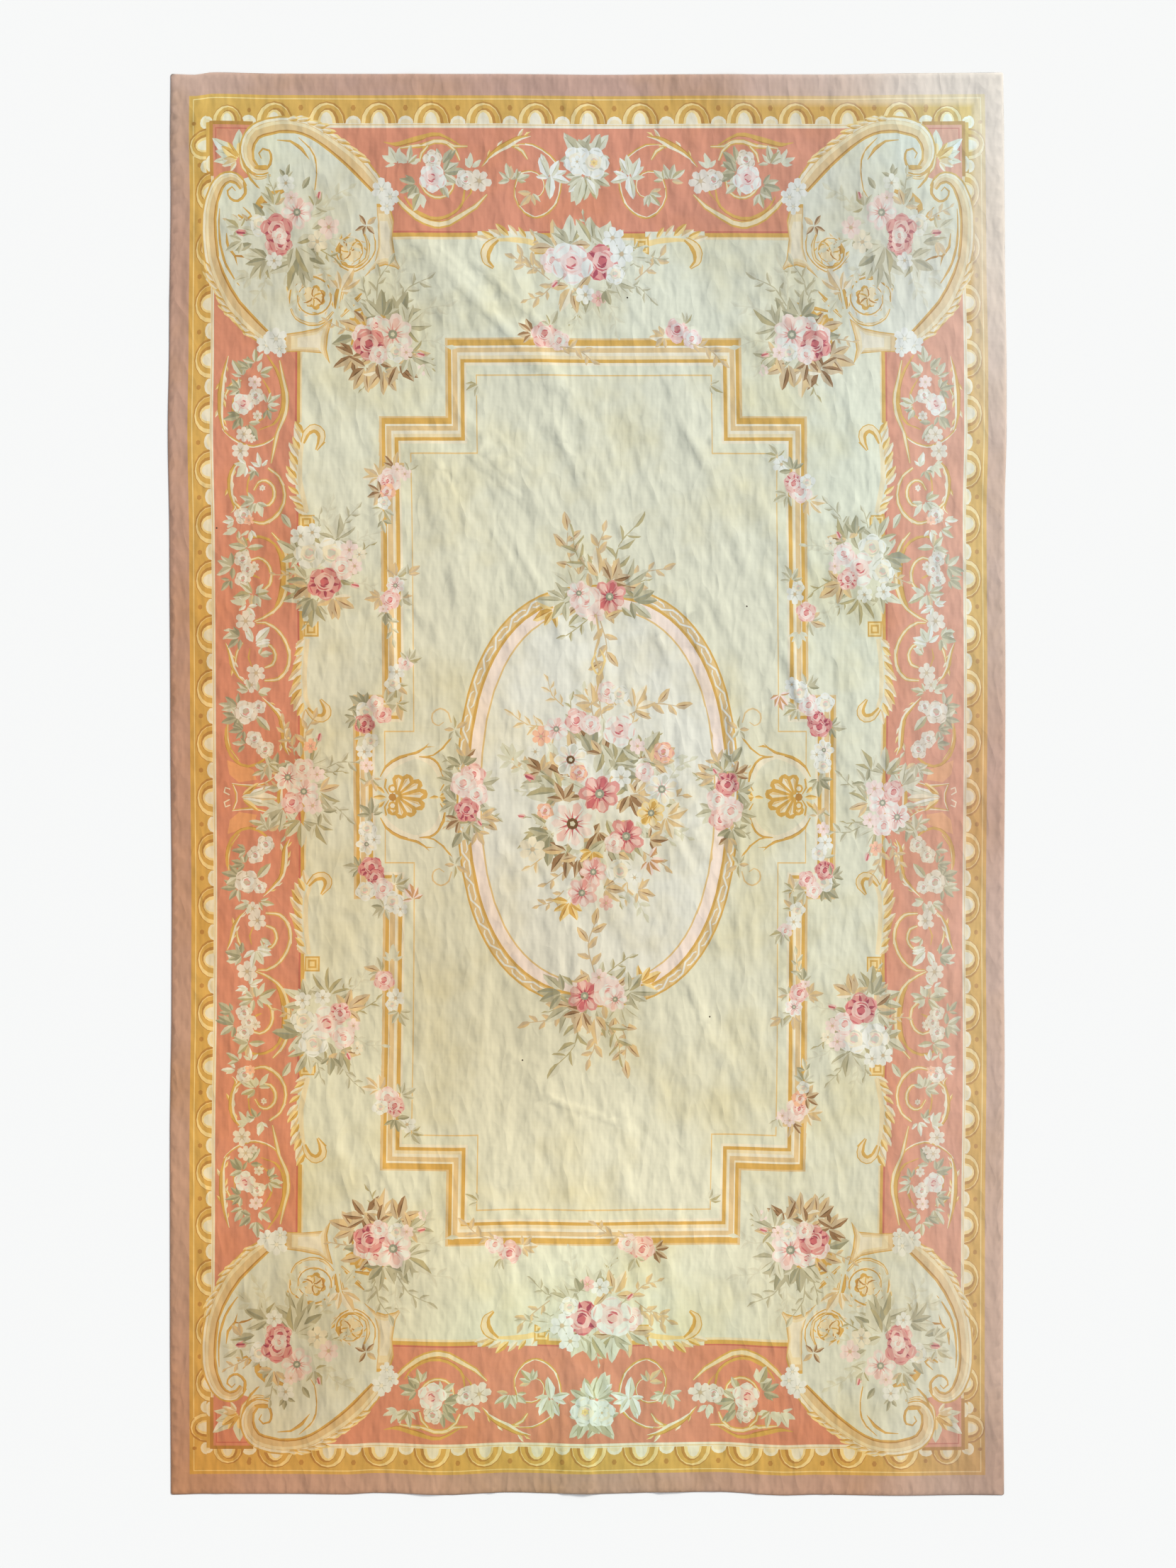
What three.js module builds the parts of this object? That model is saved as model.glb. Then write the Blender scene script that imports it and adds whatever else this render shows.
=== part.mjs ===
// An Aubusson rug: one flat-woven wool tapestry, lying face up on the floor.
// Millimetres, +Z up, +Y towards the end of the rug with the paler corner. The origin is the middle of
// the rug's box, on the floor. The cloth is one sheet: its four edges are turned under and are part of it.
import * as THREE from 'three';

// Driving dimensions.
const RUG_WIDTH = 2940;
const RUG_LENGTH = 5005;
const CLOTH_THICKNESS = 2.5;
const CORNER_ROUNDING = 7;
const COLUMNS = 52;
// Rows of the sheet's grid, from the bottom end up: closer together across the long diagonal crease.
const ROW_STRETCHES = [
  { upTo: 1250, rows: 30 }, { upTo: 2050, rows: 12 }, { upTo: RUG_LENGTH / 2, rows: 4 },
];
const WOOL_COLOUR = '#d3cdb4';
const WOOL_ROUGHNESS = 0.95;

// How far each edge stands out of the plain rectangle. `at` runs along the edge from the rug's middle.
const LEFT_EDGE = [
  { at: -2500, out: -2 }, { at: -1915, out: 1 }, { at: -1215, out: 1.5 }, { at: -715, out: -4 },
  { at: -415, out: -5 }, { at: 285, out: 0 }, { at: 885, out: 3 }, { at: 1285, out: 9 },
  { at: 1585, out: 4 }, { at: 2085, out: -1 }, { at: 2285, out: 1 }, { at: 2500, out: -1 },
];
const RIGHT_EDGE = [
  { at: -2500, out: 0 }, { at: -2115, out: -3 }, { at: -1515, out: -3 }, { at: -915, out: 2 },
  { at: -515, out: -1 }, { at: 385, out: 5 }, { at: 985, out: 2 }, { at: 1285, out: 9 },
  { at: 1485, out: 9 }, { at: 1885, out: 3 }, { at: 2285, out: 0 }, { at: 2500, out: -3 },
];
const TOP_EDGE = [
  { at: -1470, out: 0 }, { at: -1388, out: -3 }, { at: -1320, out: 6 }, { at: -1075, out: 1 },
  { at: -763, out: 0 }, { at: -325, out: 0 }, { at: 50, out: -3 }, { at: 425, out: -1 },
  { at: 862, out: -2 }, { at: 1175, out: 3 }, { at: 1470, out: 5 },
];
const BOTTOM_EDGE = [
  { at: -1470, out: 5 }, { at: -1350, out: 2 }, { at: -1050, out: 2 }, { at: -850, out: 4 },
  { at: -750, out: -1 }, { at: -500, out: 6 }, { at: -275, out: -3 }, { at: 0, out: 3 },
  { at: 275, out: -3 }, { at: 450, out: -5 }, { at: 700, out: 8 }, { at: 800, out: 5 },
  { at: 1100, out: 9 }, { at: 1350, out: 6 }, { at: 1470, out: 7 },
];

// The main folds. Each is a soft ridge from one point to another: `width` across it, `rise` at its middle.
const FOLDS = [
  { name: 'long diagonal crease', fromX: -640, fromY: 1960, toX: -120, toY: 1430, width: 230, rise: 9 },
  { name: 'crease beside it', fromX: -440, fromY: 1900, toX: -90, toY: 1560, width: 180, rise: 5 },
  { name: 'upper field, left', fromX: -560, fromY: 1170, toX: -420, toY: 700, width: 190, rise: 5 },
  { name: 'upper field, diagonal', fromX: -420, fromY: 1230, toX: -190, toY: 1010, width: 180, rise: 5 },
  { name: 'upper field, centre', fromX: -150, fromY: 1390, toX: 20, toY: 1010, width: 190, rise: 4 },
  { name: 'upper field, right', fromX: 330, fromY: 1420, toX: 450, toY: 900, width: 190, rise: 4 },
  { name: 'left bay', fromX: -735, fromY: 690, toX: -690, toY: 370, width: 170, rise: 7 },
  { name: 'left of the frame', fromX: -1010, fromY: 1250, toX: -960, toY: 560, width: 200, rise: 4 },
  { name: 'right of the frame', fromX: 740, fromY: 560, toX: 770, toY: 260, width: 170, rise: 6 },
  { name: 'medallion, right', fromX: 520, fromY: 330, toX: 560, toY: -40, width: 170, rise: 6 },
  { name: 'medallion, left', fromX: -455, fromY: 290, toX: -440, toY: -190, width: 170, rise: 5 },
  { name: 'lower field, left', fromX: -420, fromY: -760, toX: -380, toY: -1500, width: 190, rise: 4 },
  { name: 'lower field, centre', fromX: -60, fromY: -900, toX: -30, toY: -1750, width: 190, rise: 4 },
  { name: 'lower field, right', fromX: 330, fromY: -700, toX: 420, toY: -1500, width: 190, rise: 4 },
  { name: 'bottom end, centre', fromX: -40, fromY: -2060, toX: -20, toY: -2505, width: 170, rise: 6 },
  { name: 'bottom end, right', fromX: 270, fromY: -2200, toX: 290, toY: -2505, width: 180, rise: 4 },
  { name: 'bottom end, left', fromX: -560, fromY: -2230, toX: -570, toY: -2505, width: 180, rise: 4 },
  { name: 'top end, left', fromX: -620, fromY: 2480, toX: -600, toY: 2160, width: 180, rise: 4 },
  { name: 'top end, right', fromX: 500, fromY: 2480, toX: 530, toY: 2170, width: 190, rise: 4 },
];

// A smooth curve through a table's rows.
function edgeOut(edge, at) {
  if (at <= edge[0].at) return edge[0].out;
  for (let row = 1; row < edge.length; row += 1) {
    const from = edge[row - 1];
    const to = edge[row];
    if (at <= to.at) return from.out + (to.out - from.out) * THREE.MathUtils.smoothstep(at, from.at, to.at);
  }
  return edge[edge.length - 1].out;
}

// Height of one fold at a point: a raised cosine across it, with rounded ends.
function foldHeight(fold, x, y) {
  const alongX = fold.toX - fold.fromX;
  const alongY = fold.toY - fold.fromY;
  const share = ((x - fold.fromX) * alongX + (y - fold.fromY) * alongY) / (alongX ** 2 + alongY ** 2);
  const nearest = THREE.MathUtils.clamp(share, 0, 1);
  const distance = Math.hypot(x - fold.fromX - nearest * alongX, y - fold.fromY - nearest * alongY);
  const halfWidth = fold.width / 2;
  if (distance >= halfWidth) return 0;
  return fold.rise * Math.cos((distance / halfWidth) * (Math.PI / 2)) ** 2;
}

// The underside: flat on the floor, and lifted where a fold is. The highest fold wins where two meet.
function undersideHeight(x, y) {
  return Math.max(0, ...FOLDS.map((fold) => foldHeight(fold, x, y)));
}

// Where the rows lie along an even rug.
function rowPlaces() {
  const places = [-RUG_LENGTH / 2];
  for (const stretch of ROW_STRETCHES) {
    const start = places[places.length - 1];
    for (let row = 1; row <= stretch.rows; row += 1) {
      places.push(start + ((stretch.upTo - start) * row) / stretch.rows);
    }
  }
  return places;
}

// A grid point on the floor, with the uneven edges spread inwards.
function gridPoint(column, plainY) {
  const across = (column / COLUMNS) * 2 - 1;
  const along = (plainY * 2) / RUG_LENGTH;
  const plainX = (across * RUG_WIDTH) / 2;
  const sideOut = across < 0 ? -edgeOut(LEFT_EDGE, plainY) : edgeOut(RIGHT_EDGE, plainY);
  const endOut = along < 0 ? -edgeOut(BOTTOM_EDGE, plainX) : edgeOut(TOP_EDGE, plainX);
  const atCorner = Math.abs(across) === 1 && Math.abs(along) === 1;
  const tuck = atCorner ? CORNER_ROUNDING : 0;
  return {
    x: plainX + sideOut * Math.abs(across) - Math.sign(across) * tuck,
    y: plainY + endOut * Math.abs(along) - Math.sign(along) * tuck,
  };
}

// One closed sheet: an upper and an under face on the same grid, joined round the rim.
function tapestrySheet() {
  const places = rowPlaces();
  const rows = places.length - 1;
  const points = [];
  for (const plainY of places) {
    for (let column = 0; column <= COLUMNS; column += 1) points.push(gridPoint(column, plainY));
  }
  const box = new THREE.Box2().setFromPoints(points.map((point) => new THREE.Vector2(point.x, point.y)));
  const middle = box.getCenter(new THREE.Vector2());

  const positions = [];
  for (const lift of [0, CLOTH_THICKNESS]) {
    for (const point of points) {
      const x = point.x - middle.x;
      const y = point.y - middle.y;
      positions.push(x, y, undersideHeight(x, y) + lift);
    }
  }

  const rowLength = COLUMNS + 1;
  const upper = points.length;
  const index = [];
  // Each cell is split along the way that most folds run, from its upper left to its lower right.
  for (let row = 0; row < rows; row += 1) {
    for (let column = 0; column < COLUMNS; column += 1) {
      const a = row * rowLength + column;
      const b = a + 1;
      const c = b + rowLength;
      const d = a + rowLength;
      index.push(a, d, b, b, d, c);
      index.push(upper + a, upper + b, upper + d, upper + b, upper + c, upper + d);
    }
  }

  const addRimWall = (a, b) => index.push(a, b, upper + b, a, upper + b, upper + a);
  const lastRow = rows * rowLength;
  for (let column = 0; column < COLUMNS; column += 1) {
    addRimWall(column, column + 1);
    addRimWall(lastRow + column + 1, lastRow + column);
  }
  for (let row = 0; row < rows; row += 1) {
    addRimWall(row * rowLength + COLUMNS, (row + 1) * rowLength + COLUMNS);
    addRimWall((row + 1) * rowLength, row * rowLength);
  }

  const geometry = new THREE.BufferGeometry();
  geometry.setAttribute('position', new THREE.Float32BufferAttribute(positions, 3));
  geometry.setIndex(index);
  geometry.computeVertexNormals();
  return geometry;
}

const wool = new THREE.MeshStandardMaterial({ color: WOOL_COLOUR, roughness: WOOL_ROUGHNESS, metalness: 0 });
const cloth = new THREE.Mesh(tapestrySheet(), wool);
cloth.name = 'tapestry_cloth';

const rug = new THREE.Group();
rug.add(cloth);
export default rug;
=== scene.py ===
# %% [markdown]
# # An Aubusson rug in wool tapestry
#
# This rug is one flat-woven cloth, about 2.9 by 5 metres. Every colour is a separate patch of dyed wool,
# woven in by hand, so the design is part of the cloth and not printed on it. The script follows the
# weaver: it draws the patches, joins them into one sheet, lays the sheet in its folds, and gives it wool.

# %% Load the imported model
import math
import random

import bpy
import numpy as np
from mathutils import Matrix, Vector
from mathutils.geometry import delaunay_2d_cdt


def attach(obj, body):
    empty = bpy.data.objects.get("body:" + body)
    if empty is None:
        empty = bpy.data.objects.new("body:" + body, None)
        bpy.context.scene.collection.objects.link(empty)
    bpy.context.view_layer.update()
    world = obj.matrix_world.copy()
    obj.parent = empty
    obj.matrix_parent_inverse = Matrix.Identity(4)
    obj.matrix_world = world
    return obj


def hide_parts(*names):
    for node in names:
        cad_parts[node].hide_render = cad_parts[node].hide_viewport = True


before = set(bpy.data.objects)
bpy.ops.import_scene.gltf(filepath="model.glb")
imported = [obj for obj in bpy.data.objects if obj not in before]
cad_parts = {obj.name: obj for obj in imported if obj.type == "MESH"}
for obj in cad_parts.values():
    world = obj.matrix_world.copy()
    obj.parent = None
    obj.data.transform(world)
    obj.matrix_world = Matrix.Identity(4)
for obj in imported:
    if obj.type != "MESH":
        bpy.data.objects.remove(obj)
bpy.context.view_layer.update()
MM = 0.001  # one millimetre in Blender's metres
chance = random.Random(1860)

# %% [markdown]
# ## The dyed wools
#
# A tapestry has a fixed set of dyed yarns, and each patch is one of them. A table of named colours is
# the dyer's shelf. The values are sRGB hex, as read on a screen, and one function turns them to linear.

# %% Wools on the shelf
WOOLS = {
    "mauve": "#bb9782", "gold": "#cda456", "gold_deep": "#b58645", "gold_pale": "#e6cc8c",
    "gold_soft": "#d8ba80", "straw": "#d5ba88", "straw_pale": "#e0d0a6", "cream": "#e1d8bb",
    "white": "#dedecf", "ivory": "#dbd1bc", "ivory_shade": "#bfb197", "salmon": "#cf8b6d",
    "salmon_deep": "#c0715c", "amber": "#dfa06c", "field": "#d6d5b9", "panel": "#d6d4b8", "oval": "#dcdbc8",
    "cartouche": "#d4d5bf", "pink_band": "#e9d9c8", "leaf": "#b4ae8d", "leaf_dark": "#989474",
    "leaf_pale": "#cdcaae", "leaf_faint": "#d0cfb4", "tan": "#c5b08b", "olive": "#b0a579",
    "brown": "#967450", "umber": "#6f5334", "rust": "#c3966a", "blush": "#e3d0c2", "pink": "#dfbaab",
    "rose": "#d4958a", "crimson": "#c46b6b", "wine": "#a5505a", "peach": "#e8b795", "slate": "#95967f",
    "shade": "#c6c6b2", "ink": "#4d4236",
}


def linear(hex_colour):
    """sRGB hex to linear red, green, blue."""
    parts = [int(hex_colour[i:i + 2], 16) / 255 for i in (1, 3, 5)]
    return [c / 12.92 if c <= 0.04045 else ((c + 0.055) / 1.055) ** 2.4 for c in parts]


WOOL_NAMES = list(WOOLS)
WOOL_LINEAR = np.array([linear(WOOLS[name]) for name in WOOL_NAMES])
print("wools:", len(WOOL_NAMES))

# %% [markdown]
# ## Patches of colour
#
# On the loom a shape is a patch of weft inside an outline. Here a patch is a list of points in
# millimetres and a wool. Later patches lie over earlier ones, as paint does, so a flower is drawn over
# its leaves. A motif is a list of patches about its own middle, and it is moved, turned and mirrored
# into place. Drawing outlines in code keeps every edge sharp and needs no picture.

# %% Patches, paths and bands
design = []


def patch(points, wool):
    """One patch of a wool inside an outline."""
    return [(np.array(points, float), WOOL_NAMES.index(wool))]


def moved(motif, x=0.0, y=0.0, turn=0.0):
    """The motif turned by `turn` degrees about its own middle, and moved to x, y."""
    c, s = math.cos(math.radians(turn)), math.sin(math.radians(turn))
    spin = np.array([[c, s], [-s, c]])
    return [(points @ spin + (x, y), wool) for points, wool in motif]


def smooth_path(points, step):
    """A round curve through the points, with a point about every `step` millimetres."""
    points = np.array(points, float)
    ends = np.vstack([2 * points[0] - points[1], points, 2 * points[-1] - points[-2]])
    out = []
    for a, b, c, d in zip(ends, ends[1:], ends[2:], ends[3:]):
        count = max(1, round(np.hypot(*(c - b)) / step))
        for t in np.arange(count) / count:
            out.append(b + 0.5 * t * (c - a + t * (2 * a - 5 * b + 4 * c - d + t * (3 * (b - c) + d - a))))
    return np.array(out + [points[-1]])


def band(points, widths, wool, low=-1.0, high=1.0, step=16):
    """A band along a path. `low` and `high` run from its right edge, -1, to its left edge, 1."""
    path = smooth_path(points, step)
    along = np.gradient(path, axis=0)
    along /= np.maximum(np.hypot(*along.T), 1e-6)[:, None]
    across = np.column_stack([-along[:, 1], along[:, 0]])
    place = np.linspace(0, len(widths) - 1, len(path))
    half = np.interp(place, np.arange(len(widths)), widths)[:, None] / 2
    return patch(np.vstack([path + across * half * high, (path + across * half * low)[::-1]]), wool)


def arc(x, y, wide, high, start, end, count=10):
    """Points on an ellipse between two angles in degrees."""
    angles = np.radians(np.linspace(start, end, count))
    return np.column_stack([x + wide * np.cos(angles), y + high * np.sin(angles)])


def disc(radius, wool, count=7):
    """A round patch."""
    return patch(arc(0, 0, radius, radius, 0, 360 - 360 / count, count), wool)


def mirrored(motif, side, end):
    """The motif, turned over sideways where `side` is -1 and end to end where `end` is -1."""
    return [(points * (side, end), wool) for points, wool in motif]


def four_ways(motif):
    """The motif of the upper left quarter, mirrored into all four quarters."""
    quarters = ((1, 1), (-1, 1), (1, -1), (-1, -1))
    return [one for side, end in quarters for one in mirrored(motif, side, end)]


def turned_about(motif):
    """The motif and its copy turned half round the rug's middle."""
    return motif + mirrored(motif, -1, -1)


def heading_of(step):
    """The direction of a step, in degrees from +X."""
    return math.degrees(math.atan2(step[1], step[0]))


# %% [markdown]
# ## Flowers and leaves
#
# These roses, daisies and leaves are the common stock of such rugs. Each has few patches: a lobed outline,
# a shaded fold between two petals, a turned edge and a heart. Seen from a step away this is how a
# weaver models a flower, since each extra shade is one more bobbin. Small seeded changes of size
# and angle keep two flowers from being the same, as on any hand-woven piece.

# %% Leaves
LEAF_TONES = {
    # light half, dark half, shaded fold
    "green": ("leaf_pale", "leaf", "leaf_dark"), "dark": ("leaf", "leaf_dark", "slate"),
    "tan": ("straw", "tan", "brown"), "brown": ("tan", "brown", "umber"),
    "faint": ("leaf_faint", "leaf_pale", "leaf"), "gold": ("gold_pale", "gold", "gold_deep"),
    "olive": ("leaf_pale", "olive", "leaf_dark"), "pale": ("white", "leaf_pale", "leaf"),
    "rust": ("blush", "rust", "umber"), "straw": ("cream", "straw", "tan"),
}
MIXED_TONES = {
    # a fan of one tone also has a few leaves of the tones beside it
    "green": ("green", "green", "olive", "faint"), "dark": ("dark", "dark", "green"),
    "tan": ("tan", "tan", "straw"), "brown": ("brown", "brown", "tan"), "olive": ("olive", "green", "tan"),
    "pale": ("pale", "pale", "faint"),
}
LONG_LEAF = 58  # mm: only a longer leaf has room for a fold


def leaf(length, wide, tone="green"):
    """A leaf that points along +X from its stalk: a light half, a darker half and a shaded fold."""
    light, dark, fold = LEAF_TONES[tone]
    bend = chance.uniform(-0.22, 0.22)
    scale = np.array([length, wide])
    upper = [(0, 0), (0.2, 0.36), (0.5, 0.5), (0.84, 0.27 + bend), (1, bend), (0.5, bend / 2)]
    lower = [(0, 0), (0.2, -0.34), (0.5, -0.48), (0.84, bend - 0.24), (1, bend), (0.5, bend / 2)]
    out = patch(np.array(upper) * scale, light) + patch(np.array(lower) * scale, dark)
    if length > LONG_LEAF:
        crease = [(0.1, 0), (0.5, bend / 2 - 0.13), (0.84, bend), (0.5, bend / 2 + 0.03)]
        out += patch(np.array(crease) * scale, fold)
    return out


def leaf_fan(count, length, spread, tone="green"):
    """Leaves that fan out from one point, the middle ones longest."""
    out = []
    for i in range(count):
        side = (i / (count - 1) - 0.5) * 2 if count > 1 else 0
        reach = length * (1 - 0.28 * abs(side)) * chance.uniform(0.85, 1.12)
        heading = side * spread / 2 + chance.gauss(0, 8)
        one_tone = chance.choice(MIXED_TONES.get(tone, (tone,)))
        stalk = length * chance.uniform(0.02, 0.14)
        away = (stalk * math.cos(math.radians(heading)), stalk * math.sin(math.radians(heading)))
        out += moved(leaf(reach, reach * chance.uniform(0.36, 0.5), one_tone), *away, turn=heading)
    return out


def sprig(points, leaves, length, tone="green"):
    """A thin stalk with leaves on both sides and one at its tip."""
    path = smooth_path(points, 12)
    out = band(points, [4, 4, 3], LEAF_TONES[tone][1], step=30)
    for i in range(leaves):
        at = int((i + 1) / (leaves + 0.5) * (len(path) - 1))
        ahead = path[min(at + 1, len(path) - 1)] - path[max(at - 1, 0)]
        heading = heading_of(ahead)
        lean = (46 if i % 2 else -46) * (0.3 if i == leaves - 1 else 1)
        reach = length * chance.uniform(0.8, 1.15)
        out += moved(leaf(reach, reach * 0.44, tone), *path[at], turn=heading + lean)
    return out


def foliage(half_wide, half_high, count, length, tones):
    """Leaves that point out of a bouquet all round. They are drawn before its flowers."""
    out = []
    for i in range(count):
        angle = 2 * math.pi * (i + chance.uniform(-0.4, 0.4)) / count
        share = chance.uniform(0.35, 0.78)
        reach = length * chance.uniform(0.75, 1.2)
        heading = math.degrees(angle) + chance.gauss(0, 20)
        out += moved(leaf(reach, reach * 0.44, tones[i % len(tones)]),
                     half_wide * share * math.cos(angle), half_high * share * math.sin(angle), turn=heading)
    return out


def fringe(half_wide, half_high, count, length, tones):
    """Thin sprigs that stand out of a bouquet all round."""
    out = []
    for i in range(count):
        angle = 2 * math.pi * (i + chance.uniform(-0.3, 0.3)) / count
        reach = length * chance.uniform(0.75, 1.2)
        curl = chance.uniform(-0.3, 0.3) * reach
        stalk = [(0, 0), (reach * 0.5, curl * 0.4), (reach, curl)]
        out += moved(sprig(stalk, 5, reach * 0.3, tones[i % len(tones)]), half_wide * math.cos(angle),
                     half_high * math.sin(angle), turn=math.degrees(angle) + chance.gauss(0, 14))
    return out


print("leaf patches:", len(leaf(50, 20)), "fan patches:", len(leaf_fan(5, 60, 150)))

# %% Flowers
FLOWER_TINTS = {
    # outer petals, shade between them, inner petals, strokes of the heart
    "white": ("white", "shade", "cream", "pink"), "blush": ("blush", "pink", "white", "rose"),
    "warm": ("white", "pink", "blush", "crimson"), "pink": ("pink", "rose", "blush", "crimson"),
    "red": ("rose", "crimson", "pink", "wine"), "gold": ("gold_pale", "gold", "straw_pale", "gold_deep"),
    "ivory": ("ivory", "ivory_shade", "white", "rose"), "faint": ("cream", "shade", "leaf_faint", "straw"),
    "peach": ("peach", "rose", "blush", "rust"),
}
LARGE_ROSE = 32  # mm: only a rose of a larger radius has room for turned edges


def lobed(petals, radius, notch, wobble=0.13):
    """A flower's outline: round lobes with notches between them."""
    out = []
    for i in range(petals):
        reach = radius * (1 + chance.uniform(-wobble, wobble))
        for share, r in ((0, notch), (0.22, 0.92), (0.5, 1.0), (0.78, 0.92)):
            angle = 2 * math.pi * (i + share) / petals
            out.append((reach * r * math.cos(angle), reach * r * math.sin(angle)))
    return out


def strokes(count, near, far, wide, wool, start=0.0, sweep=360.0):
    """Wedges of another wool that run out from the heart."""
    out = []
    for i in range(count):
        reach = far * (1 + chance.uniform(-0.16, 0.12))
        stroke = patch([(near, -wide * 0.25), (reach, 0), (near, wide * 0.25)], wool)
        out += moved(stroke, turn=start + sweep * (i + 0.5) / count)
    return out


def crescent(radius, thick, start, sweep, wool):
    """A thin curved stroke round the flower's middle, as for the edge of a turned petal."""
    line = arc(0, 0, radius, radius, start, start + sweep, 4)
    return band(line, [1.5, thick, 1.5], wool, step=radius * 0.5)


def daisy(radius, tint="white", eye="tan", petals=6):
    """A small open flower with plain petals and a round eye."""
    outer, shade = FLOWER_TINTS[tint][:2]
    out = patch(lobed(petals, radius, 0.64, 0.1), outer)
    out += strokes(petals, radius * 0.16, radius * 0.64, radius * 0.3, shade, start=-180 / petals)
    return out + disc(radius * 0.2, eye, 6)


def anemone(radius, tint="red", eye="slate", petals=7):
    """A wide open flower: broad petals with a lit middle, and fine strokes from a round heart."""
    outer, shade, inner, heart = FLOWER_TINTS[tint]
    out = patch(lobed(petals, radius, 0.74, 0.1), outer)
    lit = np.array([(0.36, -0.13), (0.76, -0.24), (0.95, -0.04), (0.8, 0.15), (0.36, 0.08)]) * radius
    for i in range(petals):
        wool = (inner, shade, inner)[i % 3]
        out += moved(patch(lit * chance.uniform(0.88, 1.0), wool), turn=(i + 0.5) * 360 / petals)
    out += strokes(petals, radius * 0.2, radius * 0.8, radius * 0.22, shade, start=-180 / petals)
    out += strokes(petals + 3, radius * 0.2, radius * 0.56, radius * 0.17, heart)
    return out + disc(radius * 0.24, eye, 8) + disc(radius * 0.12, "leaf_pale", 5)


def rose(radius, tint="white", striped=False):
    """A full rose: two rings of cupped petals with turned edges, round a curled heart."""
    outer, shade, inner, heart = FLOWER_TINTS[tint]
    start = chance.uniform(0, 72)
    out = moved(patch(lobed(5, radius, 0.8, 0.08), outer), turn=start)
    fold = np.array([(0.3, -0.08), (0.6, -0.1), (0.84, 0.02), (0.58, 0.08)]) * radius
    for i in range(5):
        out += moved(patch(fold, shade), turn=start + 72 * i)
        if radius > LARGE_ROSE:
            out += crescent(radius * 0.84, radius * 0.13, start + 72 * i + 16, 38, inner if i % 2 else shade)
    if striped:
        for i in range(6):
            blade = np.array([(0.3, -0.09), (0.7, -0.12), (0.94, 0.02), (0.6, 0.1)]) * radius
            streak = patch(blade * chance.uniform(0.8, 1.0), heart)
            out += moved(streak, turn=150 + 40 * i + chance.uniform(-9, 9))
    out += moved(patch(lobed(5, radius * 0.58, 0.84, 0.08), inner), 0, radius * 0.06, turn=start + 30)
    bowl = crescent(radius * 0.46, radius * 0.12, 190, 120, shade)
    bowl += crescent(radius * 0.42, radius * 0.1, 20, 80, outer)
    bowl += moved(patch(lobed(4, radius * 0.27, 0.8), shade), turn=start)
    for turn, reach in ((200, 0.3), (250, 0.2), (20, 0.22)):
        bowl += crescent(radius * reach, radius * 0.11, turn, 96, heart)
    return out + moved(bowl, 0, radius * 0.08)


def bud(length, tint="pink"):
    """A closed flower in its cup, on a short stalk."""
    outer, _, _, heart = FLOWER_TINTS[tint]
    out = band([(-length * 0.5, 0), (0, 0)], [3, 4], "leaf", step=40)
    husk = [(0, 0), (0.3, 0.26), (0.75, 0.2), (1, 0), (0.75, -0.2), (0.3, -0.26)]
    out += patch(np.array(husk) * length, outer)
    out += patch(np.array([(0.2, 0.05), (0.85, 0.14), (0.9, -0.02), (0.3, -0.08)]) * length, heart)
    cup = [(-0.1, 0), (0.3, 0.24), (0.45, 0.1), (0.15, 0), (0.4, -0.2)]
    return out + patch(np.array(cup) * length, "leaf")


print("rose patches:", len(rose(40)), "daisy patches:", len(daisy(20)), "anemone patches:", len(anemone(50)))

# %% [markdown]
# ## Ground and borders
#
# The plain parts come first: the mauve guard, the gold edge, the salmon border and the pale field. Each is
# a whole rectangle over the last one, so only its visible rim stays. Sizes are measured from the rug's
# edge inwards. The borders are a little wider at the two ends than at the sides.

# %% Bands from the edge inwards
HALF_WIDTH = 1470.0
HALF_LENGTH = 2502.5
BEYOND_RIM = 30  # the mauve ground passes the rim by this much
BANDS = [
    # wool, mm in from the side edge, mm in from the end edge
    ("gold", 66, 73), ("gold_pale", 80, 84), ("gold", 83, 87), ("cream", 142, 168), ("gold_soft", 145, 172),
    ("cream", 148, 175), ("salmon", 154, 184), ("salmon_deep", 432, 536), ("gold", 439, 543),
    ("straw_pale", 451, 557), ("field", 456, 565),
]


def box_outline(half_wide, half_high):
    """The corners of a rectangle about the middle."""
    return [(x * half_wide, y * half_high) for x, y in ((-1, -1), (1, -1), (1, 1), (-1, 1))]


design += patch(box_outline(HALF_WIDTH + BEYOND_RIM, HALF_LENGTH + BEYOND_RIM), "mauve")
for wool, from_side, from_end in BANDS:
    design += patch(box_outline(HALF_WIDTH - from_side, HALF_LENGTH - from_end), wool)
print("border bands:", len(BANDS))

# %% [markdown]
# ## The arch border
#
# The gold border repeats one motif: a ribbon that arches over a white egg, a pale scallop between two
# arches, and a brown bead. It is drawn once, standing on a base line, and set round the rug by a loop.
# The repeat is worked out from each side's length, so that a whole number of arches fits.

# %% One arch and its run along the sides and ends
SIDE_PITCH = 191.0
END_PITCH = 171.0
SIDE_RUN = 2 * HALF_LENGTH - 620  # between the corner arches
END_RUN = 2 * HALF_WIDTH - 550
SIDE_DEPTH = 58
END_DEPTH = 78
SIDE_BASE = 1328  # from the rug's middle to the line that the arches stand on
END_BASE = 2334
DRAWN_PITCH = 185  # the repeat that the widths in `arch` are given for


def dome(half_wide, high, wool, x=0.0, count=9):
    """The upper half of an ellipse, standing on the base line."""
    return patch(arc(x, 0, half_wide, high, 0, 180, count), wool)


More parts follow.
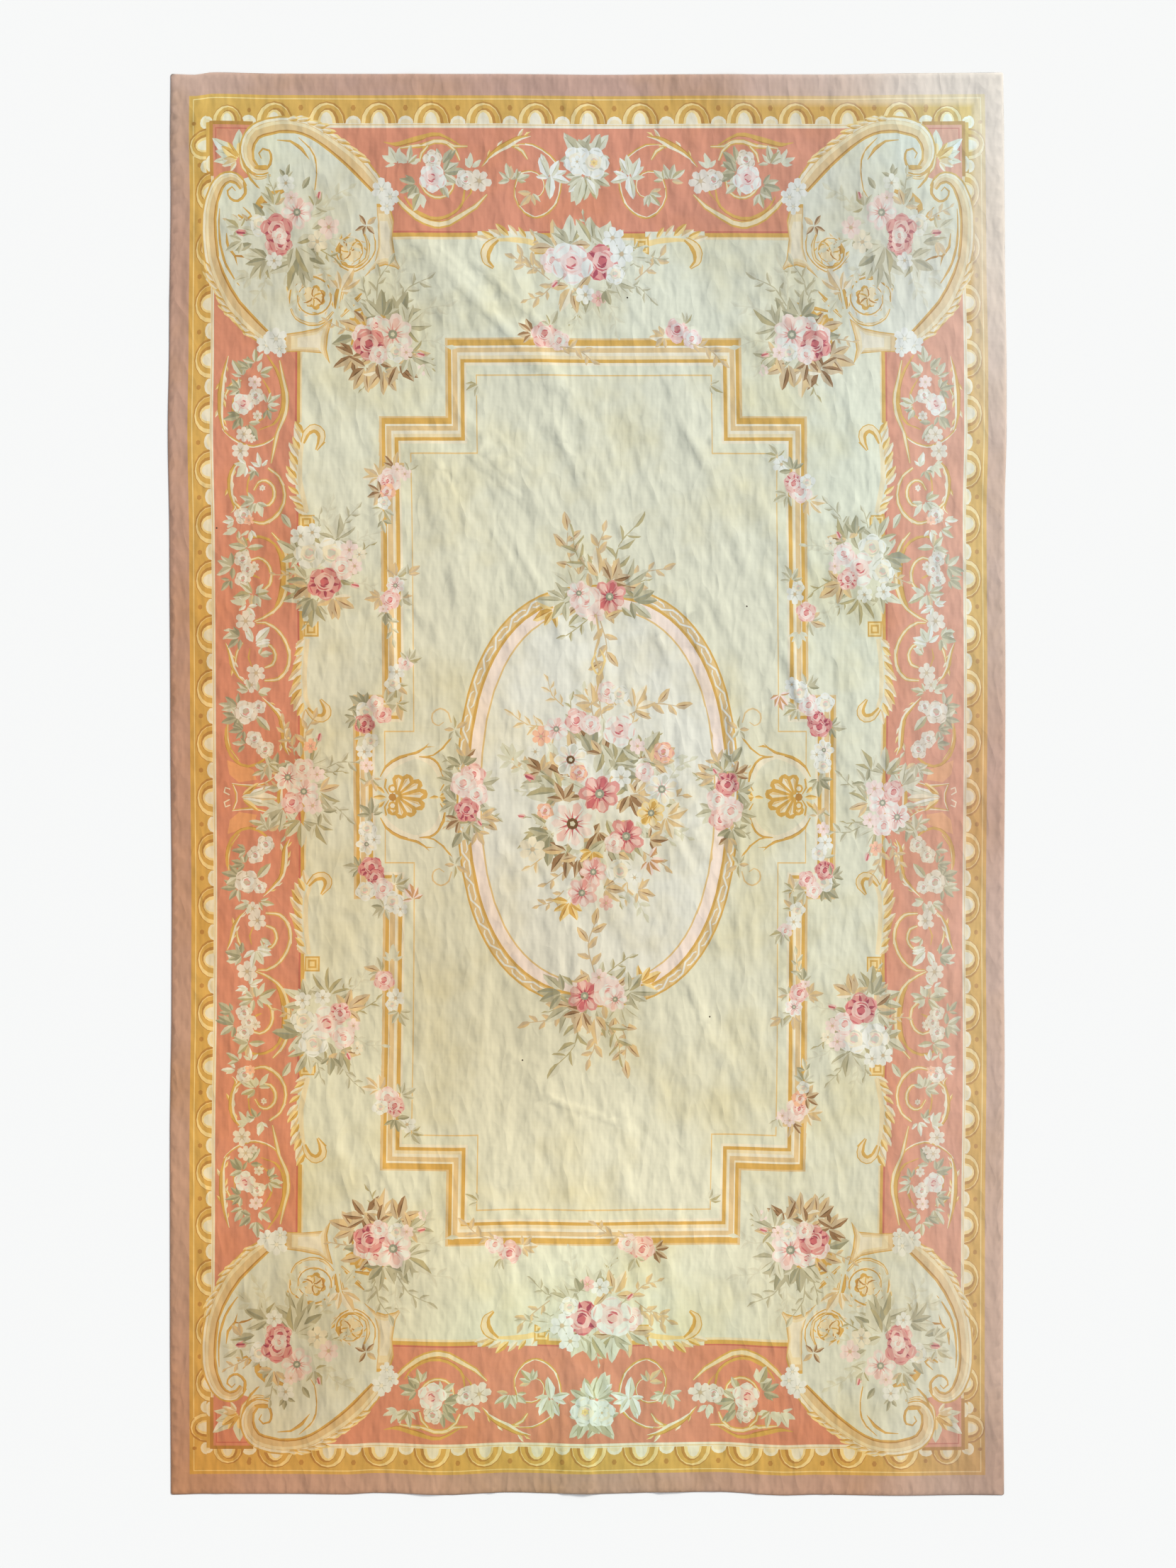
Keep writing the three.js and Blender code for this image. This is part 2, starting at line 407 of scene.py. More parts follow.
def arch(pitch, depth):
    """One repeat on its base line at y = 0, with the ribbon reaching almost to `depth`."""
    unit = pitch / DRAWN_PITCH
    out = []
    for side in (-1, 1):
        out += dome(28 * unit, depth * 0.34, "cream", x=side * pitch / 2, count=7)
        out += dome(20 * unit, depth * 0.2, "straw_pale", x=side * pitch / 2, count=5)
    out += dome(67 * unit, depth * 0.96, "gold_deep")
    out += dome(62 * unit, depth * 0.9, "gold_pale", x=-3 * unit)
    out += dome(54 * unit, depth * 0.82, "gold", x=3 * unit)
    out += dome(38 * unit, depth * 0.68, "gold_deep", x=4 * unit, count=8)
    out += dome(32 * unit, depth * 0.6, "gold_pale", x=-1 * unit, count=8)
    out += dome(22 * unit, depth * 0.5, "cream", x=-3 * unit, count=7)
    bead = patch(arc(pitch / 2, depth * 0.68, 9 * unit, depth * 0.14, 0, 300, 6), "gold_deep")
    return out + bead


def arch_run(length, pitch_wanted, depth):
    """Arches in a row from the row's middle, and how many there are."""
    count = 2 * round(length / pitch_wanted / 2 + 0.5) - 1
    pitch = length / count
    out = []
    for i in range(count):
        out += moved(arch(pitch, depth), x=(i - (count - 1) / 2) * pitch)
    return out, count


side_run, side_count = arch_run(SIDE_RUN, SIDE_PITCH, SIDE_DEPTH)
end_run, end_count = arch_run(END_RUN, END_PITCH, END_DEPTH)
for turn, reach in ((90, -SIDE_BASE), (-90, SIDE_BASE)):
    design += moved(side_run, x=reach, turn=turn)
for turn, reach in ((0, END_BASE), (180, -END_BASE)):
    design += moved(end_run, y=reach, turn=turn)
corner_arches = []
for x, y, turn in ((-1268, END_BASE, 0), (-1344, 2260, 90)):
    corner_arches += moved(arch(150, 62), x=x, y=y, turn=turn)
design += four_ways(corner_arches)
print("arches:", 2 * side_count + 2 * end_count + 8)

# %% [markdown]
# ## Scrolls of the salmon border
#
# The side borders carry a chain of scrolls. Each is a line that thickens and curls to an eye, gold
# with a deep edge, or cream with a gold one. They are mirrored into all four quarters, as on the
# loom, where one cartoon serves both halves.

# %% Scroll bands
def scroll(points, widths, style):
    """A scroll line. Style `gold` or `cream`, or `left` or `right` for gold with cream on that side."""
    if style == "cream":
        edge = band(points, [w + 4 for w in widths], "gold")
        return edge + band(points, widths, "straw_pale", -0.55, 0.85)
    if style == "gold":
        return band(points, widths, "gold_deep") + band(points, widths, "gold", -0.6, 1)
    cream_low, cream_high = (0.15, 0.95) if style == "left" else (-0.95, -0.15)
    out = leafy_edge(points, widths) if max(widths) > 15 else []
    out += band(points, widths, "gold_deep") + band(points, widths, "gold", -0.75, 0.75)
    return out + band(points, widths, "cream", cream_low, cream_high)


def leafy_edge(points, widths):
    """Small leaf tips that stand off both sides of a broad scroll."""
    path = smooth_path(points, 30)
    wide = np.interp(np.linspace(0, len(widths) - 1, len(path)), np.arange(len(widths)), widths)
    out = []
    for i in range(1, len(path) - 1):
        ahead = path[i + 1] - path[i - 1]
        heading = heading_of(ahead)
        side = 1 if i % 3 else -1
        off = np.array([-ahead[1], ahead[0]]) / np.hypot(*ahead) * side * wide[i] * 0.25
        reach = wide[i] * 0.9 + 16
        tip = leaf(reach, reach * 0.36, "gold" if i % 2 else "straw")
        out += moved(tip, *(path[i] + off), turn=heading + side * 24)
    return out


SIDE_SCROLLS = [
    # wreath beside the corner: points in mm, widths, style
    ([(-1268, 1535), (-1284, 1470), (-1292, 1390), (-1290, 1320), (-1276, 1270)], [4, 16, 24, 18, 5], "left"),
    ([(-1285, 1285), (-1262, 1258), (-1222, 1234), (-1180, 1224), (-1130, 1240), (-1096, 1268)],
     [6, 9, 10, 9, 5], "right"),
    ([(-1136, 1540), (-1104, 1492), (-1084, 1440), (-1078, 1390), (-1084, 1345), (-1110, 1303),
      (-1160, 1282)], [5, 10, 13, 13, 10, 4], "gold"),
    ([(-1092, 1522), (-1078, 1450), (-1066, 1395), (-1072, 1335), (-1097, 1275), (-1110, 1215),
      (-1121, 1166)], [3, 10, 13, 12, 12, 10, 2], "cream"),
    ([(-1222, 1452), (-1256, 1436), (-1276, 1400)], [4, 8, 5], "cream"),
    ([(-1150, 1456), (-1130, 1425), (-1121, 1388), (-1138, 1330), (-1168, 1308)], [4, 8, 7, 7, 4], "gold"),
    ([(-1249, 1390), (-1251, 1345), (-1236, 1318)], [4, 7, 4], "gold"),
    # second scroll
    ([(-1222, 1176), (-1248, 1150), (-1262, 1108), (-1260, 1055), (-1248, 1012), (-1262, 992)],
     [5, 16, 20, 18, 12, 3], "left"),
    ([(-1250, 1030), (-1228, 1010), (-1200, 1008)], [8, 8, 4], "cream"),
    ([(-1132, 1150), (-1095, 1120), (-1078, 1073), (-1081, 1028), (-1106, 985), (-1150, 958), (-1196, 966)],
     [6, 7, 8, 9, 11, 9, 5], "cream"),
    ([(-1182, 1072), (-1165, 1100), (-1140, 1106), (-1116, 1085), (-1113, 1050), (-1131, 1022),
      (-1157, 1020)], [4, 7, 9, 10, 9, 5], "cream"),
    ([(-1186, 1136), (-1201, 1105), (-1204, 1060), (-1194, 1034)], [3, 6, 6, 3], "gold"),
    # third scroll
    ([(-1222, 886), (-1200, 906), (-1163, 911), (-1124, 894), (-1098, 860), (-1086, 810), (-1086, 760),
      (-1096, 705), (-1114, 668)], [4, 10, 11, 10, 15, 20, 18, 14, 6], "gold"),
    ([(-1124, 926), (-1092, 888), (-1076, 845), (-1072, 790), (-1076, 730), (-1098, 674), (-1140, 637),
      (-1184, 616)], [3, 10, 13, 14, 14, 11, 9, 4], "cream"),
    ([(-1198, 828), (-1170, 838), (-1140, 820), (-1126, 785), (-1132, 745), (-1156, 724)],
     [4, 8, 9, 9, 5], "cream"),
    ([(-1200, 800), (-1186, 776), (-1164, 766)], [3, 8, 4], "gold"),
    # fourth scroll
    ([(-1178, 610), (-1148, 612), (-1110, 590), (-1081, 550), (-1066, 500), (-1075, 450), (-1104, 416),
      (-1152, 410)], [4, 8, 9, 10, 10, 10, 10, 5], "cream"),
    ([(-1283, 542), (-1268, 500), (-1258, 455), (-1240, 422), (-1221, 404)], [4, 14, 17, 12, 3], "left"),
    ([(-1224, 542), (-1244, 510), (-1250, 472)], [3, 6, 3], "cream"),
    ([(-1160, 541), (-1130, 530), (-1114, 500), (-1124, 466), (-1151, 455)], [4, 8, 9, 9, 5], "cream"),
    ([(-1200, 522), (-1206, 490), (-1194, 458)], [3, 6, 3], "gold"),
    # fifth scroll, above the bracket
    ([(-1160, 350), (-1122, 312), (-1096, 276), (-1087, 220), (-1084, 175), (-1068, 148)],
     [4, 14, 17, 22, 20, 3], "left"),
    ([(-1274, 266), (-1285, 220), (-1275, 162), (-1245, 122), (-1206, 108), (-1164, 124), (-1130, 156)],
     [4, 9, 9, 10, 10, 9, 4], "gold"),
    ([(-1276, 262), (-1278, 220), (-1268, 170), (-1240, 130)], [2, 4, 4, 2], "cream"),
    # bracket
    ([(-1264, 47), (-1200, 39), (-1150, 50), (-1118, 72)], [5, 10, 9, 4], "left"),
    ([(-1261, 44), (-1249, 14), (-1249, -6)], [6, 8, 8], "left"),
]
BRACKET_FOOT = [(-1280, 130), (-1240, 116), (-1190, 96), (-1180, 62), (-1240, 52), (-1272, 80)]


def scrolls(rows):
    """All the scrolls of one table."""
    out = []
    for points, widths, style in rows:
        out += scroll(points, widths, style)
    return out


design += four_ways(patch(BRACKET_FOOT, "amber") + scrolls(SIDE_SCROLLS))

END_SCROLLS = [
    ([(-722, 2270), (-680, 2262), (-640, 2272), (-600, 2282), (-565, 2294), (-525, 2296), (-490, 2280),
      (-452, 2258)], [3, 13, 20, 20, 16, 13, 10, 4], "gold"),
    ([(-668, 2250), (-620, 2256), (-585, 2258), (-545, 2272), (-505, 2270), (-476, 2256), (-428, 2256)],
     [3, 10, 13, 14, 14, 9, 3], "cream"),
    ([(-597, 2202), (-590, 2232), (-566, 2258)], [4, 9, 6], "cream"),
    ([(-500, 2264), (-470, 2240), (-457, 2208)], [5, 9, 4], "cream"),
    ([(-600, 2130), (-580, 2100), (-548, 2082), (-510, 2086), (-485, 2112), (-478, 2152)],
     [4, 7, 8, 8, 7, 4], "cream"),
    ([(-654, 2085), (-632, 2050), (-600, 2025), (-558, 2010), (-518, 2012), (-478, 2032), (-450, 2064),
      (-440, 2126)], [4, 9, 12, 13, 12, 10, 9, 4], "gold"),
    ([(-694, 2102), (-668, 2062), (-635, 2030), (-600, 2006), (-550, 1988), (-500, 1994), (-452, 2022),
      (-405, 2050), (-364, 2092)], [4, 14, 18, 20, 22, 20, 17, 12, 3], "cream"),
    ([(-412, 2136), (-422, 2096), (-444, 2068)], [4, 8, 3], "gold"),
    ([(-380, 2186), (-356, 2216), (-322, 2244), (-286, 2262), (-250, 2282), (-205, 2292)],
     [4, 16, 24, 26, 18, 3], "right"),
    ([(-262, 2254), (-236, 2240), (-218, 2212)], [5, 10, 3], "cream"),
    ([(-252, 2264), (-200, 2262), (-152, 2236), (-120, 2204), (-105, 2160), (-106, 2108), (-126, 2056),
      (-165, 2022), (-206, 2016), (-245, 2042), (-267, 2086), (-262, 2130), (-244, 2163), (-205, 2172),
      (-172, 2154), (-161, 2120), (-176, 2090), (-208, 2080)],
     [5, 9, 9, 9, 8, 8, 9, 10, 10, 9, 8, 7, 7, 7, 6, 6, 4], "right"),
]
design += four_ways(scrolls(END_SCROLLS))
print("scroll bands:", 4 * (len(SIDE_SCROLLS) + len(END_SCROLLS)))

# %% Palmette in the side bracket
palmette = moved(leaf(126, 44, "straw"), -1232, 0)
for lean in (16, -16):
    palmette += moved(leaf(116, 24, "pale"), -1228, lean / 4, turn=lean)
    palmette += moved(leaf(70, 20, "gold"), -1228, lean / 2, turn=lean * 2.1)
palmette += patch(arc(-1098, 0, 14, 46, 90, 270, 8), "gold")
palmette += patch(arc(-1092, 0, 9, 34, 90, 270, 7), "cream")
for up in (1, -1):
    curl = [(-1272, 8 * up), (-1290, 18 * up), (-1286, 34 * up), (-1270, 28 * up)]
    palmette += band(curl, [4, 6, 4], "cream")
    palmette += band([(-1128, 34 * up), (-1106, 46 * up), (-1086, 30 * up)], [4, 9, 4], "gold")
design += palmette + mirrored(palmette, -1, 1)

# %% [markdown]
# ## Leafy edging of the field
#
# Where the salmon meets the field, a comb of pointed leaves grows out of a small square with a
# key pattern and ends in a curled tip. A loop sets one leaf after another along a path.

# %% Leaf combs, key squares and curled tips
def leaf_comb(points, length, lean, spacing=24, tones=("straw", "gold")):
    """Leaves one after another along a path, leaning off it by `lean` degrees."""
    path = smooth_path(points, spacing)
    out = []
    for i in range(len(path) - 1):
        ahead = path[i + 1] - path[i]
        heading = heading_of(ahead)
        reach = length * (0.75 + 0.25 * math.sin(math.pi * i / len(path))) * chance.uniform(0.85, 1.15)
        out += moved(leaf(reach, reach * 0.42, tones[i % len(tones)]), *path[i], turn=heading + lean)
    return out


def hook(points, widths):
    """A curled leaf tip: gold outside and straw inside."""
    outer = band(points, [w + 7 for w in widths], "gold", step=12)
    return outer + band(points, widths, "straw_pale", -0.3, 1, step=12)


def key_square(wide, high):
    """Squares one inside the next, for the key pattern."""
    out = []
    for share, wool in ((1, "gold"), (0.8, "gold_pale"), (0.56, "gold"), (0.32, "gold_pale")):
        out += patch(box_outline(wide / 2 * share, high / 2 * share), wool)
    return out


UPPER_COMB = [(-1000, 992), (-1018, 1030), (-1034, 1090), (-1030, 1160), (-1016, 1235), (-1004, 1300)]
LOWER_COMB = [(-1014, 556), (-1022, 500), (-1026, 430), (-1024, 360), (-1012, 310), (-990, 276)]
END_COMB = [(-196, 1926), (-230, 1944), (-290, 1950), (-340, 1944), (-376, 1926)]
EDGING_LINES = [
    ([(-1002, 996), (-1014, 1050), (-1024, 1110), (-1020, 1190), (-1006, 1270)], [16, 18, 16, 14, 8]),
    ([(-1004, 556), (-1012, 490), (-1016, 420), (-1012, 350), (-988, 286)], [16, 16, 16, 14, 8]),
]
CURLED_TIPS = [
    ([(-1012, 1236), (-998, 1272), (-972, 1288), (-950, 1272), (-950, 1244), (-966, 1212)],
     [8, 18, 24, 25, 17, 2]),
    ([(-962, 344), (-942, 316), (-940, 294), (-956, 278), (-984, 284), (-1008, 312)], [2, 17, 25, 24, 18, 8]),
]
END_TIP = [(-346, 1840), (-368, 1858), (-374, 1888), (-360, 1918), (-330, 1940)]
UPPER_GROUND = [(-1040, 1300), (-1012, 1310), (-1000, 1280), (-1000, 1000), (-1030, 992), (-1040, 1090)]
edging = patch(UPPER_GROUND, "field")
edging += patch([(-1044, 540), (-1000, 560), (-1000, 260), (-1020, 262), (-1040, 300)], "field")
edging += leaf_comb(UPPER_COMB, 62, 40, 28) + leaf_comb(LOWER_COMB, 62, -40, 28)
for points, widths in EDGING_LINES:
    edging += band(points, widths, "straw_pale")
for points, widths in CURLED_TIPS:
    edging += hook(points, widths)
edging += moved(key_square(56, 50), -1004, 962) + moved(key_square(52, 54), -992, 590)
edging += patch([(-400, 1966), (-190, 1966), (-190, 1932), (-400, 1930)], "field")
edging += leaf_comb(END_COMB, 58, -44, 26)
edging += band([(-196, 1924), (-250, 1936), (-330, 1936), (-376, 1918)], [20, 18, 12, 6], "gold_pale")
edging += hook(END_TIP, [3, 22, 30, 26, 10]) + moved(key_square(52, 60), -176, 1918)
edging += moved(sprig([(-150, 1800), (-200, 1840), (-250, 1890)], 5, 46, "tan"))
design += four_ways(edging)
print("edging patches:", 4 * len(edging))

# %% [markdown]
# ## The stepped frame
#
# A ruled frame of gold, cream and straw lines steps round the field, with a shallow bay at each side.
# One outline gives them all: each line is the same stepped outline drawn a little further in, so the
# lines stay parallel at every corner. The lines are set wider on the runs across the rug.

# %% Lines of the stepped frame
FRAME_LINES = [
    # wool, mm inside the outline at the sides, mm inside at the ends
    ("straw", 0, 0), ("gold", 9, 6), ("cream", 21, 27), ("straw", 25, 34), ("cream", 42, 50),
    ("straw_pale", 49, 61), ("gold", 53, 73), ("cream", 66, 85), ("field", 74, 95), ("gold_soft", 106, 126),
    ("panel", 110, 131),
]


def stepped(inset_x, inset_y):
    """The frame's outline, moved in by the two insets."""
    top, shoulder, bay = 1600 - inset_y, 1330 - inset_y, 360 - inset_y
    head, body, wing = 520 - inset_x, 750 - inset_x, 850 - inset_x
    quarter = [(-head, top), (-head, shoulder), (-body, shoulder), (-body, bay), (-wing, bay)]
    left = quarter + [(x, -y) for x, y in reversed(quarter)]
    return left + [(-x, y) for x, y in reversed(left)]


for wool, inset_x, inset_y in FRAME_LINES:
    design += patch(stepped(inset_x, inset_y), wool)
print("frame lines:", len(FRAME_LINES))

# %% [markdown]
# ## The oval medallion
#
# The oval is four rings, one inside the next, with a chain of long links in the widest. Its sides are
# fuller than an ellipse's. The loom never holds such a shape quite in the middle, so this one sits a
# little to the right.

# %% Rings and chain
OVAL_MIDDLE = np.array([2.0, 1.0])
OVAL_HALF = np.array([497.0, 745.0])
OVAL_FULLNESS = 2.4  # 2 would be a plain ellipse
OVAL_RINGS = [
    ("gold", 0), ("gold_soft", 6), ("straw", 14), ("gold_soft", 29), ("gold", 36), ("pink_band", 45),
    ("gold_soft", 82), ("oval", 88),
]
RING_POINTS = 72
LINKS = 46
CHAIN_INSET = 20
CHAIN_POINTS = 4000  # so fine that the links come out equal


def oval(inset, count):
    """Points round the medallion, moved in by the inset."""
    angles = np.linspace(0, 2 * math.pi, count + 1)[:-1]
    round_to = np.column_stack([np.cos(angles), np.sin(angles)])
    return OVAL_MIDDLE + (OVAL_HALF - inset) * np.sign(round_to) * np.abs(round_to) ** (2 / OVAL_FULLNESS)


for wool, inset in OVAL_RINGS:
    design += patch(oval(inset, RING_POINTS), wool)
fine = oval(CHAIN_INSET, CHAIN_POINTS)
travelled = np.cumsum(np.hypot(*(fine - np.roll(fine, 1, axis=0)).T))
chain_line = fine[np.searchsorted(travelled, np.arange(LINKS) / LINKS * travelled[-1])]
for i in range(LINKS):
    ahead = chain_line[(i + 1) % LINKS] - chain_line[i]
    heading = heading_of(ahead)
    half = np.hypot(*ahead) / 2
    link = band([(-half, -9), (-half * 0.4, -10), (half * 0.4, 10), (half, 9)], [7, 6, 7], "white", step=30)
    link += band([(-half, 9), (-half * 0.55, 9), (-half * 0.3, 2)], [5, 5, 4], "white", step=30)
    link += band([(half * 0.3, -2), (half * 0.55, -9), (half, -9)], [4, 5, 5], "white", step=30)
    design += moved(link, *(chain_line[i] + ahead / 2), turn=heading)
print("medallion links:", LINKS)

# %% [markdown]
# ## Shells beside the oval
#
# At each end of the oval's short axis a gold shell sits in a ring of two C-scrolls. The shell is a
# fan of ribs: a pale wedge in a gold one for each, closed by a knot of small leaves at its root.

# %% Shells and their scrolls
# The angle of each rib in degrees, and its length in mm.
SHELL_RIBS = [(84, 76), (56, 88), (30, 100), (4, 108), (-22, 104), (-48, 92), (-76, 82), (-104, 70)]


def shell():
    """A scallop shell that opens along +X from its root."""
    out = []
    for angle, reach in SHELL_RIBS:
        half = [(6, -5), (reach * 0.78, -21), (reach * 0.96, -14), (reach, 0)]
        rib = patch(half + [(x, -y) for x, y in half[-2::-1]], "gold")
        rib += patch([(12, -2), (reach * 0.74, -12), (reach * 0.86, 0), (reach * 0.74, 8)], "cream")
        rib += patch([(14, 0), (reach * 0.72, 6), (reach * 0.84, 0)], "gold_soft")
        out += moved(rib, turn=angle)
    return out


HALF_RING = [(-750, 60), (-728, 100), (-690, 128), (-640, 146), (-596, 132), (-566, 104), (-552, 60)]
RING_TAIL = [(-512, 262), (-522, 296), (-550, 312), (-577, 294), (-576, 264), (-555, 252), (-538, 264)]
RING_SCROLLS = [
    ([(-758, 72), (-740, 106), (-704, 134), (-662, 150), (-620, 162), (-588, 192)],
     [4, 10, 12, 10, 8, 2], "gold"),
    ([(-640, 150), (-600, 176), (-566, 178)], [3, 7, 2], "gold"),
    ([(-624, 142), (-588, 140), (-560, 120), (-544, 86), (-536, 52), (-552, 22)], [4, 8, 8, 8, 8, 4], "gold"),
    ([(-610, 142), (-575, 148), (-545, 170), (-520, 200), (-507, 224)], [3, 5, 6, 8, 5], "gold"),
]
shell_group = patch(arc(-648, 0, 104, 142, 0, 345, 20), "panel")
shell_group += moved(shell(), -702, 4)
half_ring = band(HALF_RING, [6, 22, 26, 24, 22, 20, 6], "cream") + scrolls(RING_SCROLLS)
half_ring += band(RING_TAIL, [4, 6, 6, 6, 5, 3], "straw")
half_ring += scroll([(-728, 10), (-742, 34), (-736, 64)], [4, 8, 4], "gold")
half_ring += moved(leaf_fan(5, 50, 300, "olive"), -500, 238, turn=20)
half_ring += moved(leaf_fan(3, 52, 70, "olive"), -790, 40, turn=110)
half_ring += moved(leaf(44, 16, "gold"), -742, 14, turn=140) + moved(leaf(42, 14, "gold"), -552, 4, turn=48)
half_ring += moved(disc(16, "gold", 8), -716, 30) + moved(disc(9, "cream", 6), -716, 30)
shell_group += half_ring + mirrored(half_ring, 1, -1)
shell_group += moved(leaf(48, 18, "gold"), -736, 0, turn=180) + moved(leaf(44, 18, "gold"), -556, 0)
shell_group += moved(leaf(34, 14, "gold"), -556, 0, turn=180) + moved(disc(14, "gold_deep", 8), -716, 0)
design += shell_group + mirrored(shell_group, -1, 1)
print("shell patches:", 2 * len(shell_group))

# %% [markdown]
# ## Corner cartouches
#
# Each corner holds a great scrolled frame. Its two arms roll into volutes near the corner and
# its two feet flare out towards the field. An arm is one path with a width that swells and
# thins, drawn as bands side by side: a gold edge, a pale line, a straw body and a deep shade.

# %% Cartouche ground and arms
def arm(points, widths, tip_low, tip_high):
    """An arm of the cartouche. Leafy notches run on its outside between the two shares of its length."""
    out = band(points, [w + 12 for w in widths], "gold")
    out += band(points, widths, "straw")
    out += band(points, widths, "cream", 0.62, 1.0)
    out += band(points, widths, "straw_pale", 0.05, 0.5)
    out += band(points, widths, "gold_deep", -1.0, -0.82)
    path = smooth_path(points, 34)
    fringe_path = path[round(tip_low * len(path)):round(tip_high * len(path))]
    for at, after in zip(fringe_path, fringe_path[1:]):
        ahead = (after - at) / np.hypot(*(after - at))
        place = at + np.array([-ahead[1], ahead[0]]) * (widths[len(widths) // 2] / 2 - 4)
        heading = heading_of(ahead) + chance.uniform(10, 26)
        notch = leaf(chance.uniform(46, 60), 21, "gold") + leaf(chance.uniform(34, 44), 13, "straw")
        out += moved(notch, *place, turn=heading)
    return out


UPPER_ARM = [
    (-1130, 2176), (-1166, 2172), (-1196, 2202), (-1201, 2252), (-1176, 2300), (-1120, 2324), (-1060, 2330),
    (-1000, 2320), (-950, 2297), (-900, 2264), (-850, 2226), (-800, 2180), (-748, 2118),
]
SIDE_ARM = [
    (-1216, 2112), (-1232, 2136), (-1262, 2148), (-1298, 2130), (-1324, 2080), (-1336, 2020), (-1336, 1960),
    (-1330, 1890), (-1314, 1826), (-1290, 1770), (-1262, 1718), (-1228, 1676), (-1188, 1636), (-1140, 1598),
]
CARTOUCHE_GROUND = (
    [(-1190, 2260), (-1170, 2300)] + UPPER_ARM[5:]
    + [(-700, 2050), (-700, 1850), (-790, 1812), (-880, 1800), (-900, 1700), (-916, 1560), (-1140, 1560)]
    + SIDE_ARM[-2:1:-1] + [(-1222, 2140), (-1160, 2160)]
)
CORNER_PATCHES = [
    ([(-1332, 2338), (-1180, 2338), (-1180, 2326), (-1320, 2326), (-1320, 2150), (-1332, 2150)], "gold_deep"),
    ([(-1320, 2326), (-1180, 2326), (-1180, 2200), (-1320, 2130)], "salmon"),
    ([(-1312, 2316), (-1200, 2316), (-1230, 2222), (-1312, 2200)], "salmon_deep"),
    ([(-1308, 2312), (-1204, 2312), (-1232, 2226), (-1308, 2204)], "salmon"),
]
UPPER_VOLUTE = [(-1176, 2182), (-1132, 2180), (-1117, 2212), (-1124, 2240), (-1146, 2246), (-1160, 2230),
                (-1152, 2212)]
SIDE_VOLUTE = [(-1214, 2134), (-1210, 2092), (-1236, 2066), (-1262, 2074), (-1272, 2100), (-1256, 2114),
               (-1244, 2100)]
VOLUTE_WIDTHS = [9, 11, 10, 9, 8, 7, 4]
cartouche = []
for points, wool in CORNER_PATCHES:
    cartouche += patch(points, wool)
cartouche += moved(leaf_fan(5, 104, 118, "pale"), -1232, 2212, turn=132)
cartouche += moved(leaf_fan(4, 74, 96, "gold"), -1230, 2208, turn=134)
cartouche += moved(leaf_fan(3, 60, 60, "straw"), -1238, 2200, turn=196)
cartouche += patch(CARTOUCHE_GROUND, "cartouche")
cartouche += arm(UPPER_ARM, [18, 28, 40, 44, 48, 46, 44, 44, 46, 52, 56, 56, 44], 0.42, 0.9)
cartouche += arm(SIDE_ARM[::-1], [40, 54, 58, 54, 50, 46, 42, 42, 42, 40, 38, 34, 28, 18], 0.05, 0.5)
cartouche += scroll(UPPER_VOLUTE, VOLUTE_WIDTHS, "gold") + scroll(SIDE_VOLUTE, VOLUTE_WIDTHS, "gold")
INNER_LINES = [
    ([(-1120, 2156), (-1170, 2146), (-1216, 2180), (-1226, 2230)], [3, 9, 9, 3], "cream"),
    ([(-1020, 2286), (-972, 2240), (-958, 2180), (-966, 2110), (-986, 2076)], [4, 12, 8, 7, 3], "left"),
    ([(-1096, 2276), (-1050, 2272), (-1010, 2246), (-984, 2210)], [3, 10, 12, 3], "gold"),
    ([(-1300, 2040), (-1302, 1960), (-1290, 1884), (-1266, 1826), (-1230, 1776)], [3, 7, 8, 8, 3], "gold"),
    ([(-1276, 1956), (-1270, 1910), (-1246, 1878), (-1236, 1842)], [3, 10, 9, 2], "gold"),
    ([(-1246, 1878), (-1216, 1876), (-1176, 1858)], [6, 6, 2], "gold_deep"),
    ([(-1170, 2000), (-1164, 2052), (-1136, 2084), (-1096, 2096), (-1058, 2110)], [8, 26, 28, 18, 4], "gold"),
    ([(-1156, 2036), (-1140, 2064), (-1104, 2076)], [3, 10, 3], "gold_deep"),
    ([(-1236, 2018), (-1206, 2002), (-1190, 2016), (-1218, 2046)], [8, 9, 7, 3], "gold"),
    ([(-1206, 2176), (-1190, 2140), (-1160, 2110)], [4, 10, 3], "gold"),
]
for points, widths, style in INNER_LINES:
    cartouche += band(points, widths, style) if style == "gold_deep" else scroll(points, widths, style)
print("cartouche patches so far:", len(cartouche))

# %% Cartouche feet and leaf scrolls
UPPER_FOOT = [
    (-752, 2060), (-748, 1980), (-748, 1910), (-762, 1858), (-800, 1806), (-764, 1838), (-724, 1850),
    (-690, 1842), (-664, 1824), (-688, 1870), (-698, 1940), (-692, 2004), (-708, 2060),
]
LOWER_FOOT = [
    (-1080, 1612), (-1010, 1622), (-956, 1634), (-908, 1668), (-924, 1610), (-930, 1556), (-918, 1510),
    (-946, 1546), (-1010, 1552), (-1080, 1550),
]
for foot, drawn_in in ((UPPER_FOOT, 0.5), (LOWER_FOOT, 0.6)):
    outline = np.array(foot, float)
    middle = outline.mean(axis=0)
    for share, wool in ((1, "gold"), (0.84, "straw"), (0.55, "straw_pale"), (0.2, "cream")):
        cartouche += patch(middle + (outline - middle) * (share * drawn_in + 1 - drawn_in), wool)
LEAF_SCROLLS = [
    # x, y, radius of the ring, radius of the leaf, turn
    (-978, 1738, 76, 44, 0), (-842, 1898, 58, 46, 150),
]
